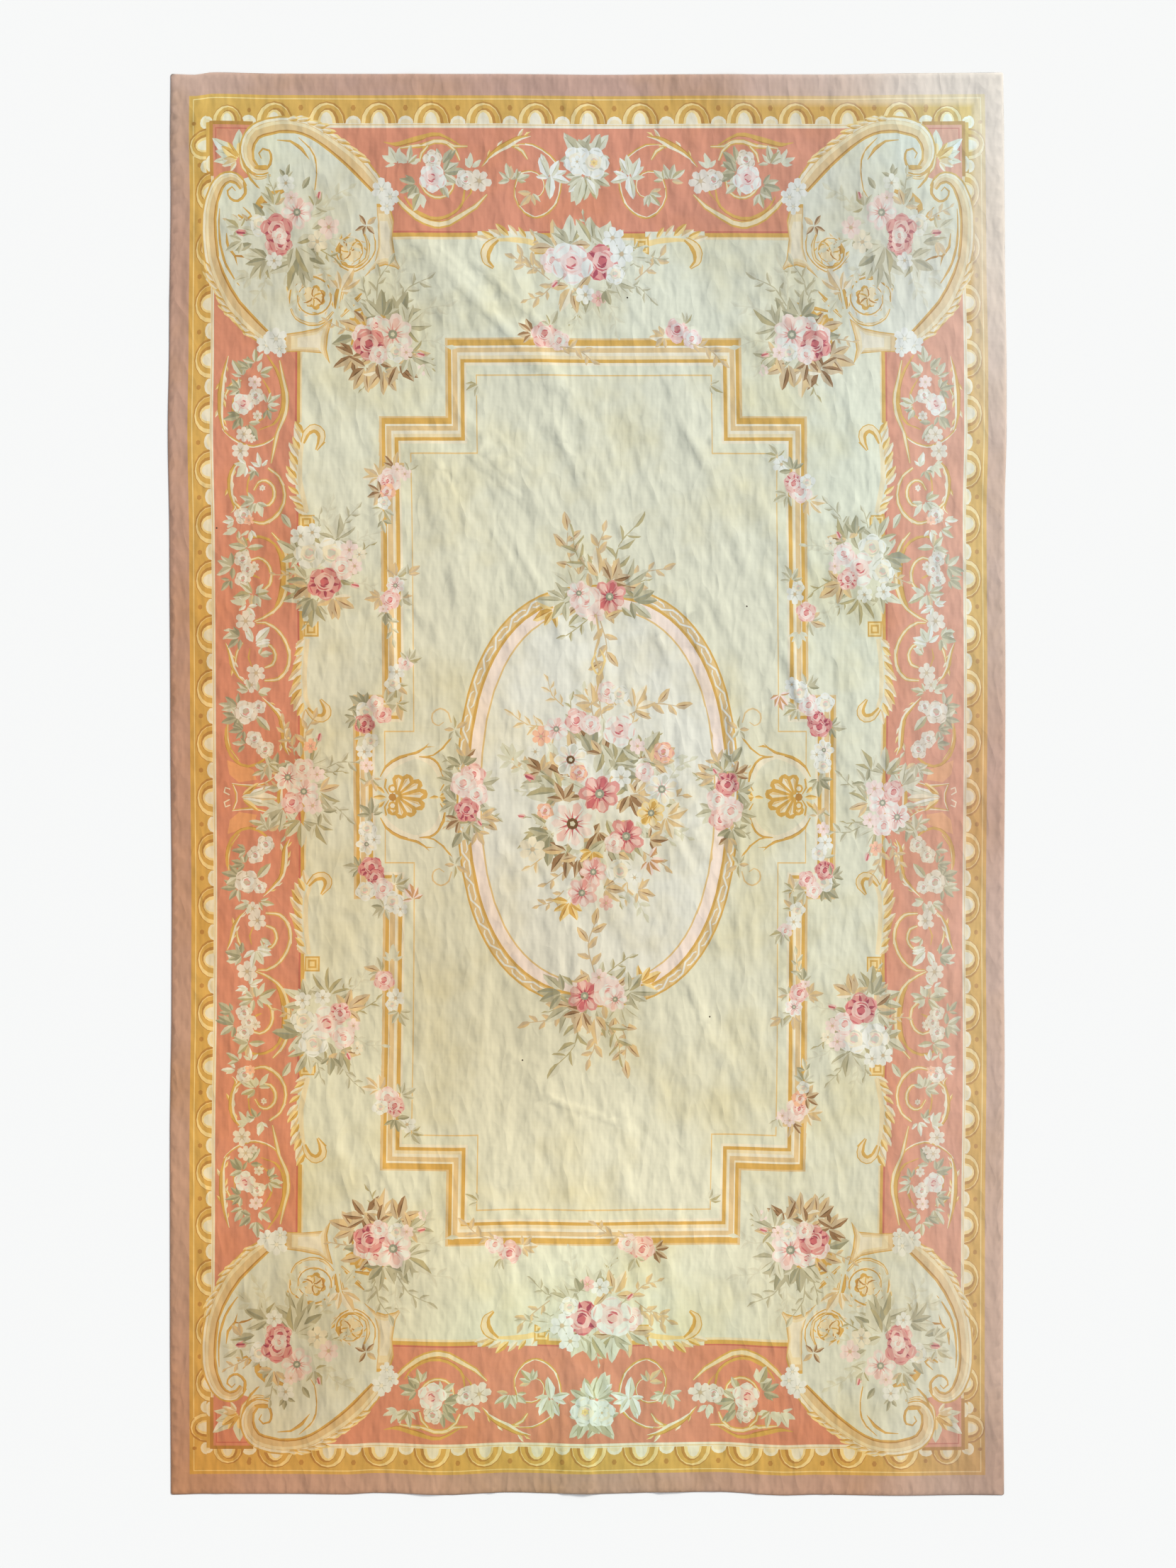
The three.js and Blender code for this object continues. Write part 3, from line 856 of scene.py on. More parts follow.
for x, y, ring_radius, leaf_radius, turn in LEAF_SCROLLS:
    turns = np.radians(np.linspace(200, -250, 16))
    shrinking = np.linspace(1.1, 0.62, 16) * ring_radius
    spiral = np.column_stack([shrinking * np.cos(turns), shrinking * np.sin(turns)])
    curl = scroll(spiral, [3, 16, 18, 14, 10, 9, 9, 8, 8, 7, 4], "left")
    curl += moved(patch(lobed(7, leaf_radius, 0.76), "gold"), 6, 0)
    curl += moved(patch(lobed(7, leaf_radius * 0.86, 0.74), "straw_pale"), 3, 2)
    for i in range(5):
        vein = arc(leaf_radius * 0.5, 0, leaf_radius * 0.42, leaf_radius * 0.2, 180, 40, 4)
        line = band(vein, [3, 6, 2], "gold" if i % 2 else "gold_deep", step=leaf_radius * 0.3)
        curl += moved(line, 2, 0, turn=200 + 58 * i)
    curl += moved(crescent(leaf_radius * 0.8, leaf_radius * 0.24, -60, 110, "gold_deep"), 4, 0)
    cartouche += moved(curl, x, y, turn=turn)
MORE_LINES = [
    ([(-1052, 1700), (-1036, 1668), (-990, 1646), (-940, 1654), (-906, 1690)], [3, 7, 8, 8, 3], "cream"),
    ([(-882, 1792), (-894, 1748), (-900, 1700)], [4, 16, 5], "gold"),
    ([(-866, 1790), (-876, 1744), (-884, 1700)], [3, 7, 3], "cream"),
    ([(-800, 1962), (-784, 1926), (-790, 1872), (-834, 1842)], [3, 8, 8, 3], "cream"),
    ([(-764, 1966), (-758, 1900), (-790, 1850), (-836, 1826), (-880, 1846), (-912, 1884)],
     [3, 8, 8, 8, 8, 3], "left"),
    ([(-868, 1690), (-830, 1730), (-796, 1764)], [4, 12, 3], "gold"),
    ([(-880, 1672), (-850, 1700), (-812, 1738)], [3, 6, 3], "cream"),
    ([(-842, 1690), (-802, 1700), (-760, 1706), (-704, 1728)], [5, 14, 10, 2], "gold"),
    ([(-850, 1552), (-838, 1600), (-828, 1650), (-806, 1690)], [3, 10, 12, 5], "gold"),
]
cartouche += scrolls(MORE_LINES)
gold_fan = []
for i in range(7):
    rib = patch([(20, -4), (100, -13), (112, 0), (100, 13), (20, 4)], "gold")
    rib += patch([(30, -1), (94, -7), (100, 3)], "straw")
    gold_fan += moved(rib, turn=66 + i * 13)
cartouche += moved(gold_fan, -776, 1584)
cartouche += moved(leaf_fan(5, 84, 130, "straw"), -882, 1760, turn=62)
cartouche += moved(leaf_fan(4, 70, 100, "faint"), -872, 1742, turn=-40)
FOOT_DAISIES = [
    # x, y, radius
    (-734, 2110, 38), (-704, 2084, 34), (-716, 2052, 28), (-1136, 1574, 36), (-1104, 1596, 38),
    (-1092, 1562, 28),
]
for x, y, radius in FOOT_DAISIES:
    cartouche += moved(daisy(radius, "white", "cream"), x, y)
cartouche += moved(leaf_fan(5, 46, 320, "brown"), -790, 1986, turn=40)
design += four_ways(cartouche)
print("cartouche patches:", 4 * len(cartouche))

# %% [markdown]
# ## Bouquets and garlands
#
# The flowers don't mirror: the right half is the left half turned round, so that a white rose faces a red
# one across the rug. Each bouquet is a short table, one row for each flower or fan of leaves, in
# millimetres from the bouquet's own middle, and every row is drawn by the functions above.

# %% Drawing one table
def bloom(kind, tone, size, turn=0):
    """One flower or fan of leaves of a table, by its kind."""
    makers = {
        "rose": lambda: rose(size, tone),
        "striped": lambda: rose(size, tone, striped=True),
        "daisy": lambda: daisy(size, tone),
        "cone": lambda: anemone(size, tone, "umber"),
        "anemone": lambda: anemone(size, tone),
        "bud": lambda: bud(size, tone),
        "fan": lambda: leaf_fan(5, size, 150, tone),
        "pair": lambda: leaf_fan(3, size, 90, tone),
        "leaf": lambda: leaf(size, size * 0.44, tone),
        "sprig": lambda: sprig([(0, 0), (size * 0.5, size * 0.14), (size, 0)], 6, size * 0.32, tone),
    }
    return moved(makers[kind](), turn=turn)


def bouquet(table):
    """All the flowers and leaves of one table, with a comma between its rows."""
    out = []
    for row in table.split(","):
        kind, tone, *numbers = row.split()
        x, y, size, *turn = map(int, numbers)
        out += moved(bloom(kind, tone, size, *turn), x, y)
    return out


# %% The tables of the left half and the two ends
# A row says: kind, tone, mm across, mm up, size and, where it is turned, degrees. From (-1080, 1960).
CORNER_BOUQUET = """
    sprig faint 140 70 130 40, sprig faint 150 -20 110 -20, sprig faint -60 -120 120 250,
    sprig faint 10 -130 140 285, sprig faint 110 -100 110 300, pair faint -110 -150 60 200,
    fan green -60 -90 90 215, fan green 60 -90 110 250, fan dark 60 -60 96 290, fan green 40 -40 100 -60,
    pair dark -50 -90 72 196, fan olive -30 90 66 110, pair dark 110 0 56 -30, pair dark 10 190 48 80,
    fan green -150 10 60 150, pair olive -140 -30 60 210, fan green 110 90 60 50, leaf dark 70 150 50 60,
    daisy white 12 170 32, daisy faint 120 -30 40, daisy blush 160 20 40, anemone blush 50 70 58,
    rose white -80 26 40, rose pink -24 -46 40, striped red -20 10 56, striped red -8 -36 44 180,
    rose blush -12 -12 30, daisy white -30 -96 30, bud red -120 -6 46 170, daisy blush 30 120 26,
    bud pink 120 110 36 70
"""
# From (-745, 1600).
OUTER_SPRAY = """
    sprig green -10 120 150 70, sprig green 60 110 150 40, sprig faint 100 50 150 24,
    sprig faint 110 -20 130 -6, sprig faint 60 130 130 80, fan brown -90 -60 84 205,
    fan brown -50 -100 84 240, fan tan 10 -110 86 270, fan brown 60 -90 84 300, fan olive 100 -60 84 -30,
    fan dark 50 60 100 60, fan green 90 40 96 30, fan dark 10 70 90 100, pair brown -10 -80 66 280,
    rose blush -58 10 40, rose warm -14 40 40, anemone blush 44 12 70, striped red -38 -24 58,
    rose blush -4 -58 36, rose white 56 -50 36, bud pink 120 -50 40 -20, daisy blush 90 -50 26,
    daisy blush 150 -110 22, pair faint 150 -90 56 -60
"""
# From (-945, 800).
SIDE_BOUQUET = """
    sprig green 60 110 120 60, sprig faint 90 70 110 30, sprig faint 90 -50 110 -20,
    sprig faint 20 120 120 84, fan olive -60 -80 90 200, fan green -30 -110 90 250, fan tan 30 -100 84 290,
    fan green -80 50 80 160, fan green 40 100 90 70, fan dark -60 -40 76 180, pair brown -50 -60 70 210,
    pair dark -40 -100 70 240, rose white -50 50 60, rose white 26 50 62, rose blush 60 0 48,
    daisy white -80 114 38, daisy white -40 126 34, striped red 0 -50 62, daisy blush 86 66 32,
    daisy blush 104 10 30, bud pink 84 -50 40 -20, daisy faint 120 50 26
"""
# From (-945, 810), and mirrored to the lower end.
SIDE_BOUQUET_WHITE = """
    sprig green 60 110 130 60, sprig faint 100 40 110 16, sprig faint 60 -110 120 -50,
    fan dark -80 30 84 170, fan green -60 -80 90 220, fan green 10 -110 96 270, fan olive 50 90 90 60,
    fan tan 70 -60 80 -40, fan green -60 90 80 120, pair dark 20 110 60 90, rose white -40 60 54,
    rose warm 6 -10 66, rose white -76 -20 46, rose blush 64 40 44, striped pink 50 -46 40,
    daisy white -80 -90 32, daisy white -10 -100 30, daisy blush 96 0 26, bud pink 70 90 38 60,
    daisy faint 110 80 24
"""
# From (-1030, 40).
MIDDLE_SIDE = """
    sprig tan 20 120 130 76, sprig green 70 50 130 14, sprig tan -20 130 110 110,
    sprig green 60 -60 120 -30, fan dark -90 50 76 120, fan green -60 -80 90 230, fan green 0 -120 90 270,
    fan olive 60 -20 84 -20, pair green 50 -130 84 290, fan green 30 70 80 60, anemone warm -44 30 50,
    rose blush 6 60 42, anemone blush 10 -20 52, rose pink -30 -60 42, daisy blush 40 -70 34,
    daisy peach 34 140 26, daisy blush 56 40 28, pair dark 70 -90 60 -50, bud pink 56 150 40 70
"""
# From (-15, 1860).
TOP_BOUQUET = """
    sprig tan -150 -20 120 160, sprig green 150 -10 120 10, sprig tan -120 -70 120 210,
    sprig faint -40 -120 110 260, sprig faint 50 -120 130 290, sprig green 120 -70 120 -30,
    fan olive -110 50 104 100, fan green -60 60 104 90, fan olive 20 60 104 92, fan green 60 60 90 70,
    fan tan -60 -80 96 250, fan green 90 -60 90 -40, fan green 20 -90 96 280, pair faint 150 20 80,
    rose blush -124 6 44, striped red 52 0 72, rose warm -56 -4 78, daisy white 90 86 40,
    daisy white 120 30 46, rose white 96 -40 36, daisy white -10 -110 36, daisy pink 34 -122 28,
    pair dark 60 -90 60 -70, bud pink -100 -60 40 220
"""
# From (0, 700).
OVAL_TOP = """
    sprig tan -50 60 200 104, sprig olive 60 80 200 64, sprig tan 20 90 150 86, sprig olive -10 80 170 116,
    sprig tan 110 40 150 24, fan olive 90 40 110 30, fan dark 120 -10 96 -10, fan green -80 30 96 150,
    fan gold -150 -40 80 205, fan green -110 -10 90 190, pair tan 10 70 100 90, fan brown 50 60 84 60,
    anemone red 44 4 62, rose blush -40 -10 60, anemone blush -64 16 44, daisy blush -6 -62 34,
    sprig tan 10 -80 190 268, leaf tan 30 -70 60 20
"""
# From (-455, 10).
OVAL_SIDE = """
    fan dark -20 100 76 110, fan green -40 40 70 170, fan green 40 40 66 10, fan dark -40 -30 70 190,
    fan tan 40 -80 76 -50, fan green 10 -100 80 270, pair dark -20 -130 64 260, pair brown -30 -90 56 210,
    pair tan 30 -130 60 290, rose pink 20 66 46, rose blush -16 36 52, rose blush 30 -4 44,
    striped red -4 -56 44, bud pink 30 -84 34 -60, pair brown -10 130 56 80
"""
POSIES = [
    # x, y, table, then the filling leaves: half width, half height, count, length, tones
    (-1080, 1960, CORNER_BOUQUET, 150, 130, 14, 60, ("green", "faint", "dark")),
    (-745, 1600, OUTER_SPRAY, 120, 120, 14, 70, ("green", "brown", "tan", "dark")),
    (-945, 800, SIDE_BOUQUET, 110, 130, 14, 66, ("green", "olive", "faint")),
    (-1030, 40, MIDDLE_SIDE, 90, 140, 12, 60, ("green", "faint", "tan")),
    (-15, 1860, TOP_BOUQUET, 150, 110, 14, 66, ("green", "faint", "tan")),
    (0, 700, OVAL_TOP, 130, 90, 12, 66, ("green", "tan", "olive")),
    (-455, 10, OVAL_SIDE, 60, 130, 10, 56, ("green", "tan", "dark")),
    (-1080, -1960, CORNER_BOUQUET, 150, 130, 14, 60, ("green", "faint", "dark")),
    (-745, -1600, OUTER_SPRAY, 120, 120, 14, 70, ("green", "brown", "tan", "dark")),
    (-945, -810, SIDE_BOUQUET_WHITE, 110, 130, 14, 66, ("green", "olive", "faint")),
]
for x, y, table, half_wide, half_high, count, length, tones in POSIES:
    posy = fringe(half_wide * 0.8, half_high * 0.8, count // 3, length * 1.5, ("olive", "green", "tan"))
    posy += foliage(half_wide, half_high, count, length, tones) + bouquet(table)
    if y < 0:
        posy = mirrored(posy, 1, -1)
    design += turned_about(moved(posy, x, y))
print("patches with the bouquets:", len(design))

# %% Small garlands: borders and frame
# The leaves and flowers on the left border's scrolls, from the rug's middle.
BORDER_GARLAND = """
    pair green -1216 1462 58 120, pair dark -1192 1490 56 150, pair green -1176 1512 54 100,
    pair green -1164 1476 52 30, fan dark -1226 1420 50 170, fan dark -1222 1330 56 200,
    pair dark -1200 1306 60 -50, fan green -1134 1370 50 30, pair dark -1134 1352 44 -60,
    rose warm -1214 1370 39, rose ivory -1172 1398 30, daisy blush -1176 1446 25, daisy ivory -1166 1330 18,
    daisy ivory -1212 1266 28, daisy ivory -1186 1252 16, daisy ivory -1225 1208 33,
    fan pale -1204 1160 50 230, pair pale -1158 1152 48 96, pair dark -1176 1142 40 250,
    daisy ivory -1152 1080 12, fan green -1180 1034 56 200, pair green -1172 1030 50 -60,
    rose ivory -1218 984 33, daisy peach -1200 968 18, pair pale -1250 966 44 190,
    pair green -1236 936 50 220, pair pale -1196 936 46 260, leaf green -1090 992 60 -56,
    fan olive -1206 872 60 178, leaf olive -1206 872 56 4, fan dark -1256 806 60 180,
    pair dark -1262 762 50 220, rose ivory -1222 832 32, rose ivory -1206 796 28, rose ivory -1222 764 30,
    daisy ivory -1184 806 19, fan olive -1190 712 60 180, fan green -1182 712 60 -20,
    pair pale -1210 676 50 170, pair pale -1206 668 44 320, daisy ivory -1214 617 37,
    pair pale -1252 586 46 220, fan dark -1232 560 52 190, fan pale -1186 540 66 56,
    leaf pale -1180 530 50 10, pair green -1170 500 40 30, daisy ivory -1180 436 33,
    daisy ivory -1196 394 28, pair green -1202 372 50 140, pair green -1176 368 50 30,
    fan dark -1244 318 62 170, fan dark -1240 280 54 200, leaf olive -1180 286 70 -50,
    rose ivory -1214 298 46, rose ivory -1172 318 26, fan dark -1222 236 50 200, pair dark -1216 186 46 180,
    rose ivory -1186 204 32, rose ivory -1150 166 33, fan olive -1140 120 56 270, pair green -1150 96 50 200
"""
# The border across the upper end, up to its middle.
END_GARLAND = """
    fan faint -676 2196 58 120, fan green -640 2196 60 80, fan dark -610 2126 66 200,
    pair green -596 2100 64 250, fan dark -520 2196 66 40, fan dark -516 2166 66,
    pair green -524 2130 56 -40, rose ivory -552 2210 36, rose warm -556 2146 52,
    pair faint -420 2180 56 90, rose ivory -436 2142 38, daisy ivory -390 2138 42 20,
    fan olive -282 2140 62 110, pair green -262 2140 50 40, fan olive -206 2098 54 230,
    fan pale -140 2150 74 100, leaf pale -138 2160 84 265, leaf pale -134 2150 64 -8,
    leaf pale -148 2150 76 110
"""
END_MIDDLE = """
    fan green -34 2230 80 116, fan green 10 2230 84 72, fan green -20 2160 84 250, fan green 0 2160 90 284,
    pair pale -20 2160 96 268, rose white -44 2206 54, rose white 14 2200 54, daisy white -44 2206 24,
    daisy gold 16 2202 14
"""
# Round the left leg of the stepped frame, on its upper rail, and inside the panel's corners.
FRAME_FLOWERS = """
    fan tan -752 1120 60 140, fan brown -700 1150 56 80, rose blush -716 1108 42, striped pink -724 1104 26,
    rose peach -726 1066 32, fan brown -748 1066 54 190, fan green -740 1010 52 260,
    daisy blush -664 1130 24, rose white -738 1030 26, pair green -650 1140 44 60,
    pair dark -744 970 44 280, daisy blush -690 1146 24, fan olive -700 770 56 60, anemone warm -702 742 34,
    rose pink -720 690 38, fan tan -754 700 50 200, fan olive -680 700 44 330, daisy blush -744 660 18,
    sprig green -750 650 110 290, pair dark -734 650 50 260, pair olive -660 780 50 40,
    daisy white -700 440 32, rose blush -670 470 28, fan green -660 480 50 50, fan olive -704 400 60 280,
    rose white -712 398 30, fan olive -700 330 60 290, fan dark -810 320 60 150, fan green -740 330 60 60,
    rose white -806 296 44, striped red -812 256 38, rose pink -748 290 34, fan dark -836 280 50 200,
    rose blush -772 330 32, fan green -806 216 54 270, rose white -790 196 30, daisy white -812 160 30,
    daisy blush -806 112 26, fan olive -786 66 44 280, fan dark -788 -64 56 100, rose white -804 -112 34,
    anemone white -806 -166 36, daisy white -780 -150 26, fan dark -830 -250 50 170,
    striped red -790 -250 46, striped red -776 -286 36, rose blush -750 -326 42, rose white -810 -330 36,
    fan green -710 -310 60 20, rose white -716 -372 40, fan rust -646 -360 50 100,
    fan dark -744 -390 52 210, daisy white -690 -396 26, fan olive -754 -620 54 150, rose pink -744 -650 40,
    daisy white -704 -712 34, fan green -692 -760 54 280, fan faint -720 -580 50 90,
    rose white -716 -736 26, rose blush -728 -1070 44, striped pink -702 -1100 38,
    fan tan -756 -1040 60 130, rose white -750 -1104 30, daisy white -658 -1164 32,
    fan dark -700 -1144 54 290, fan green -644 -1190 50 310, fan green -680 -1060 50 40,
    fan brown -214 1616 54 160, rose pink -172 1612 50, rose blush -120 1590 38,
    sprig tan -120 1570 130 -24, fan green -150 1640 50 80, fan tan 250 1606 50 190, rose pink 296 1628 46,
    rose blush 346 1596 36, sprig tan 340 1580 130 -30, fan green 320 1646 46 70,
    pair olive -404 1440 50 210, pair olive -404 -1440 50 150
"""
for table in (FRAME_FLOWERS, END_MIDDLE):
    design += turned_about(bouquet(table))
for table in (BORDER_GARLAND, END_GARLAND):
    for end in (1, -1):
        design += turned_about(mirrored(bouquet(table), 1, end))
print("patches with the garlands:", len(design))

# %% The bouquet in the oval
CENTRE_BOUQUET = """
    sprig tan 110 290 190 8, sprig straw -180 250 130 160, sprig straw -120 320 110 120,
    sprig tan -10 260 150 84, sprig faint -240 90 110 140, sprig faint 250 60 110 40,
    sprig faint 220 -110 110 -20, sprig tan -120 -330 110 210, sprig faint 90 -330 120 -50,
    fan tan -20 330 76 110, fan straw 130 310 84 60, fan tan 60 320 60 120, fan green -150 60 130 150,
    fan brown -110 70 100 110, fan olive -130 20 110 190, fan brown -200 90 70 120,
    fan dark -20 150 100 100, fan brown 16 150 80 88, fan dark 50 90 110 30, fan green 60 120 100 60,
    fan olive 150 130 100 70, fan tan 190 120 90 40, fan brown 110 10 90 -20, fan tan 130 10 84 30,
    fan green -160 -110 130 230, fan dark -170 -130 100 250, fan brown -110 -190 90 230,
    fan brown -70 -210 84 290, fan brown 0 -120 96 250, fan green 30 -150 100 290, fan gold -20 -190 60 260,
    fan brown 180 -150 64 10, fan rust 180 -220 60 -40, fan tan 20 -320 84, fan tan 140 -330 60 -10,
    fan gold -100 -370 70 250, fan brown -120 -10 70 120, fan straw 240 -70 84 -30,
    fan faint -300 130 70 120, daisy faint -230 -184 46, rose blush 34 368 44, rose white 76 360 38,
    anemone blush -146 240 46, daisy peach -200 214 36, rose pink -74 268 46, rose blush -24 256 38,
    rose warm 76 236 62, cone white -96 132 66, rose peach -66 84 34, bud red -216 56 50 150,
    daisy white 82 70 40, rose blush 164 90 38, rose peach 232 158 40, anemone white 226 28 62,
    anemone red 6 12 72, anemone gold 188 -56 52, rose peach -186 -50 32, cone warm -90 -94 88,
    anemone red 100 -138 66, rose blush 56 -164 36, anemone pink -16 -264 52, anemone pink -56 -338 54,
    rose white 80 -264 50, daisy white 130 -284 30, daisy pink 30 -374 26, bud pink -250 -70 34 170,
    daisy blush 140 180 30, daisy white -220 160 30
"""
design += fringe(190, 270, 18, 120, ("tan", "faint", "olive", "straw"))
for half_wide, half_high, count, length in ((290, 370, 34, 76), (200, 280, 30, 80), (110, 180, 18, 84)):
    design += foliage(half_wide, half_high, count, length, ("olive", "green", "tan", "faint", "brown"))
design += bouquet(CENTRE_BOUQUET)
ribbon_tail = band([(-4, 640), (6, 560), (-10, 500), (8, 440), (-6, 360)], [5, 10, 6, 10, 4], "straw")
ribbon_tail += band([(8, 520), (26, 480), (4, 430), (-20, 470), (-4, 510)], [4, 9, 6, 8, 4], "gold_pale")
design += ribbon_tail
SPECKS = [(531, 670), (122, 1740), (-260, -935), (-1310, 940), (400, -780)]  # small dark spots
SPECK_RADIUS = 3.5
for x, y in SPECKS:
    design += moved(disc(SPECK_RADIUS, "ink", 5), x, y)
print("patches in the whole design:", len(design), "points:", sum(len(points) for points, wool in design))

# %% [markdown]
# ## How the loom drew it in
#
# No hand-woven rug is even. Its middle is drawn 48 mm towards the lower end and 38 mm to the right, and the
# four edges wander by a few millimetres. Both go into one function that takes a place in the even design
# to its place on the real cloth. The edge tables repeat those of the solid.

# %% Uneven cloth
DRAWN_DOWN = 48.0
DRAWN_RIGHT = 38.0
LEFT_EDGE = [
    (-2500, -2), (-1915, 1), (-1215, 1.5), (-715, -4), (-415, -5), (285, 0), (885, 3), (1285, 9), (1585, 4),
    (2085, -1), (2285, 1), (2500, -1),
]
RIGHT_EDGE = [
    (-2500, 0), (-2115, -3), (-1515, -3), (-915, 2), (-515, -1), (385, 5), (985, 2), (1285, 9), (1485, 9),
    (1885, 3), (2285, 0), (2500, -3),
]
TOP_EDGE = [
    (-1470, 0), (-1388, -3), (-1320, 6), (-1075, 1), (-763, 0), (-325, 0), (50, -3), (425, -1), (862, -2),
    (1175, 3), (1470, 5),
]
BOTTOM_EDGE = [
    (-1470, 5), (-1350, 2), (-1050, 2), (-850, 4), (-750, -1), (-500, 6), (-275, -3), (0, 3), (275, -3),
    (450, -5), (700, 8), (800, 5), (1100, 9), (1350, 6), (1470, 7),
]


def edge_out(edge, at):
    """How far the edge stands out at each place: a smooth curve through the table's rows."""
    places = np.array([row[0] for row in edge], float)
    outs = np.array([row[1] for row in edge], float)
    at = np.clip(at, places[0], places[-1])
    row = np.clip(np.searchsorted(places, at) - 1, 0, len(places) - 2)
    t = (at - places[row]) / (places[row + 1] - places[row])
    return outs[row] + (outs[row + 1] - outs[row]) * t * t * (3 - 2 * t)


def on_cloth(points):
    """Places in the even design, to places on the uneven cloth."""
    x, y = points[:, 0], points[:, 1]
    across, along = x / HALF_WIDTH, y / HALF_LENGTH
    side = np.where(x < 0, -edge_out(LEFT_EDGE, y), edge_out(RIGHT_EDGE, y))
    end = np.where(y < 0, -edge_out(BOTTOM_EDGE, x), edge_out(TOP_EDGE, x))
    slack = np.clip(1 - across ** 2, 0, 1) * np.clip(1 - along ** 2, 0, 1)
    return np.column_stack([
        x + side * np.abs(across) + DRAWN_RIGHT * slack,
        y + end * np.abs(along) - DRAWN_DOWN * np.clip(1 - along ** 2, 0, 1),
    ])


print("middle of the design moves to:", on_cloth(np.zeros((1, 2)))[0].round(1))

# %% [markdown]
# ## Folds and ripples
#
# The cloth lies flat on the floor, but it was folded and rolled, so low ridges are left in it. The long ones
# are the solid's own folds, repeated here. Between them come finer ripples: some are listed one by one where
# they are plain to see, and the rest are scattered, leaning as the cloth was pulled. Cloth simulation
# would give other folds than these, so each ridge is a raised cosine across its own line.

# %% Height of the cloth
FOLDS = [
    # from x, from y, to x, to y, width, rise: the folds of the solid
    (-640, 1960, -120, 1430, 230, 9), (-440, 1900, -90, 1560, 180, 5), (-560, 1170, -420, 700, 190, 5),
    (-420, 1230, -190, 1010, 180, 5), (-150, 1390, 20, 1010, 190, 4), (330, 1420, 450, 900, 190, 4),
    (-735, 690, -690, 370, 170, 7), (-1010, 1250, -960, 560, 200, 4), (740, 560, 770, 260, 170, 6),
    (520, 330, 560, -40, 170, 6), (-455, 290, -440, -190, 170, 5), (-420, -760, -380, -1500, 190, 4),
    (-60, -900, -30, -1750, 190, 4), (330, -700, 420, -1500, 190, 4), (-40, -2060, -20, -2505, 170, 6),
    (270, -2200, 290, -2505, 180, 4), (-560, -2230, -570, -2505, 180, 4), (-620, 2480, -600, 2160, 180, 4),
    (500, 2480, 530, 2170, 190, 4),
]
CREASES = [
    # finer ridges, listed one by one
    (-620, 1930, -150, 1470, 66, 7.5), (-540, 1900, -330, 1690, 48, 2.9), (-410, 1850, -140, 1600, 48, 3.2),
    (-240, 1620, -110, 1400, 64, 7.0), (-180, 1560, -60, 1380, 56, 3.6), (-520, 1120, -430, 930, 48, 3.5),
    (-410, 1160, -240, 1010, 48, 3.2), (-330, 1240, -200, 1100, 48, 2.6), (-480, 1060, -450, 760, 48, 2.6),
    (-130, 1300, -20, 1050, 48, 2.6), (40, 1330, 110, 1080, 48, 2.6), (200, 1300, 260, 1000, 48, 2.3),
    (-700, 640, -680, 400, 44, 4.3), (-640, 620, -620, 380, 44, 3.8), (720, 500, 740, 300, 44, 4.3),
    (500, 280, 530, 0, 44, 3.8), (590, 330, 600, 60, 48, 2.3), (-160, -1100, 90, -1190, 48, 3.2),
    (20, -2100, 10, -2500, 40, 3.5), (240, -2180, 255, -2500, 48, 2.9), (600, -2180, 610, -2500, 48, 2.9),
    (-330, -2200, -340, -2500, 48, 2.9), (-90, -2150, -80, -2500, 36, 3.2),
    (860, -1900, 880, -2250, 48, 2.6), (330, -640, 480, -1000, 48, 2.3), (-270, -960, -300, -1400, 48, 2.6),
    (120, -950, 140, -1420, 48, 2.6),
]
SCATTERED_RIPPLES = 1100
HIGHEST_PLAIN = 11.0  # above this height, in mm, ripples on a fold are pressed down
PRESSED_REACH = 5.5


def scattered_ripples():
    """Seeded fine ripples, longest in the field, leaning as the cloth was pulled."""
    rows = []
    for i in range(SCATTERED_RIPPLES):
        x, y = chance.uniform(-1400, 1400), chance.uniform(-2450, 2450)
        in_field = abs(x) < 980 and abs(y) < 1900
        lean = math.radians(chance.gauss(24 if y > 500 else 6, 14))
        reach = chance.uniform(60, 200) * (1.0 if in_field else 0.7)
        rise = chance.uniform(1.0, 3.0) * (1.0 if in_field else 0.5)
        rows.append((x - math.sin(lean) * reach, y + math.cos(lean) * reach,
                     x + math.sin(lean) * reach, y - math.cos(lean) * reach, chance.uniform(44, 84), rise))
    return rows


def ridge(points, row):
    """Height of one ridge at the points: a raised cosine with soft ends."""
    from_x, from_y, to_x, to_y, width, rise = row
    along = np.array([to_x - from_x, to_y - from_y], float)
    away = points - (from_x, from_y)
    share = np.clip(away @ along / (along @ along), 0, 1)
    distance = np.hypot(*(away - share[:, None] * along).T) / (width / 2)
    return np.where(distance < 1, rise * np.cos(np.clip(distance, 0, 1) * math.pi / 2) ** 2, 0)


RIPPLES = CREASES + scattered_ripples()


def cloth_height(points):
    """Height of the cloth's underside: the highest fold, with the ripples on top of it."""
    height = np.zeros(len(points))
    for row in FOLDS:
        height = np.maximum(height, ridge(points, row))
    order = np.argsort(points[:, 0], kind="stable")
    sorted_x = points[order, 0]
    for row in RIPPLES:
        reach = row[4] / 2
        first, last = np.searchsorted(sorted_x, [min(row[0], row[2]) - reach, max(row[0], row[2]) + reach])
        near = order[first:last]
        height[near] += ridge(points[near], row)
    over = np.maximum(height - HIGHEST_PLAIN, 0)
    return np.minimum(height, HIGHEST_PLAIN) + PRESSED_REACH * np.tanh(over / PRESSED_REACH)


print("ripples:", len(RIPPLES))

# %% [markdown]
# ## Weaving the sheet
#
# All outlines become edges of one triangle mesh, together with a plain grid that carries the folds. A
# constrained Delaunay triangulation does this: it keeps each outline as an edge and splits them
# where they cross. Each triangle then takes the wool of the last patch that it lies in.

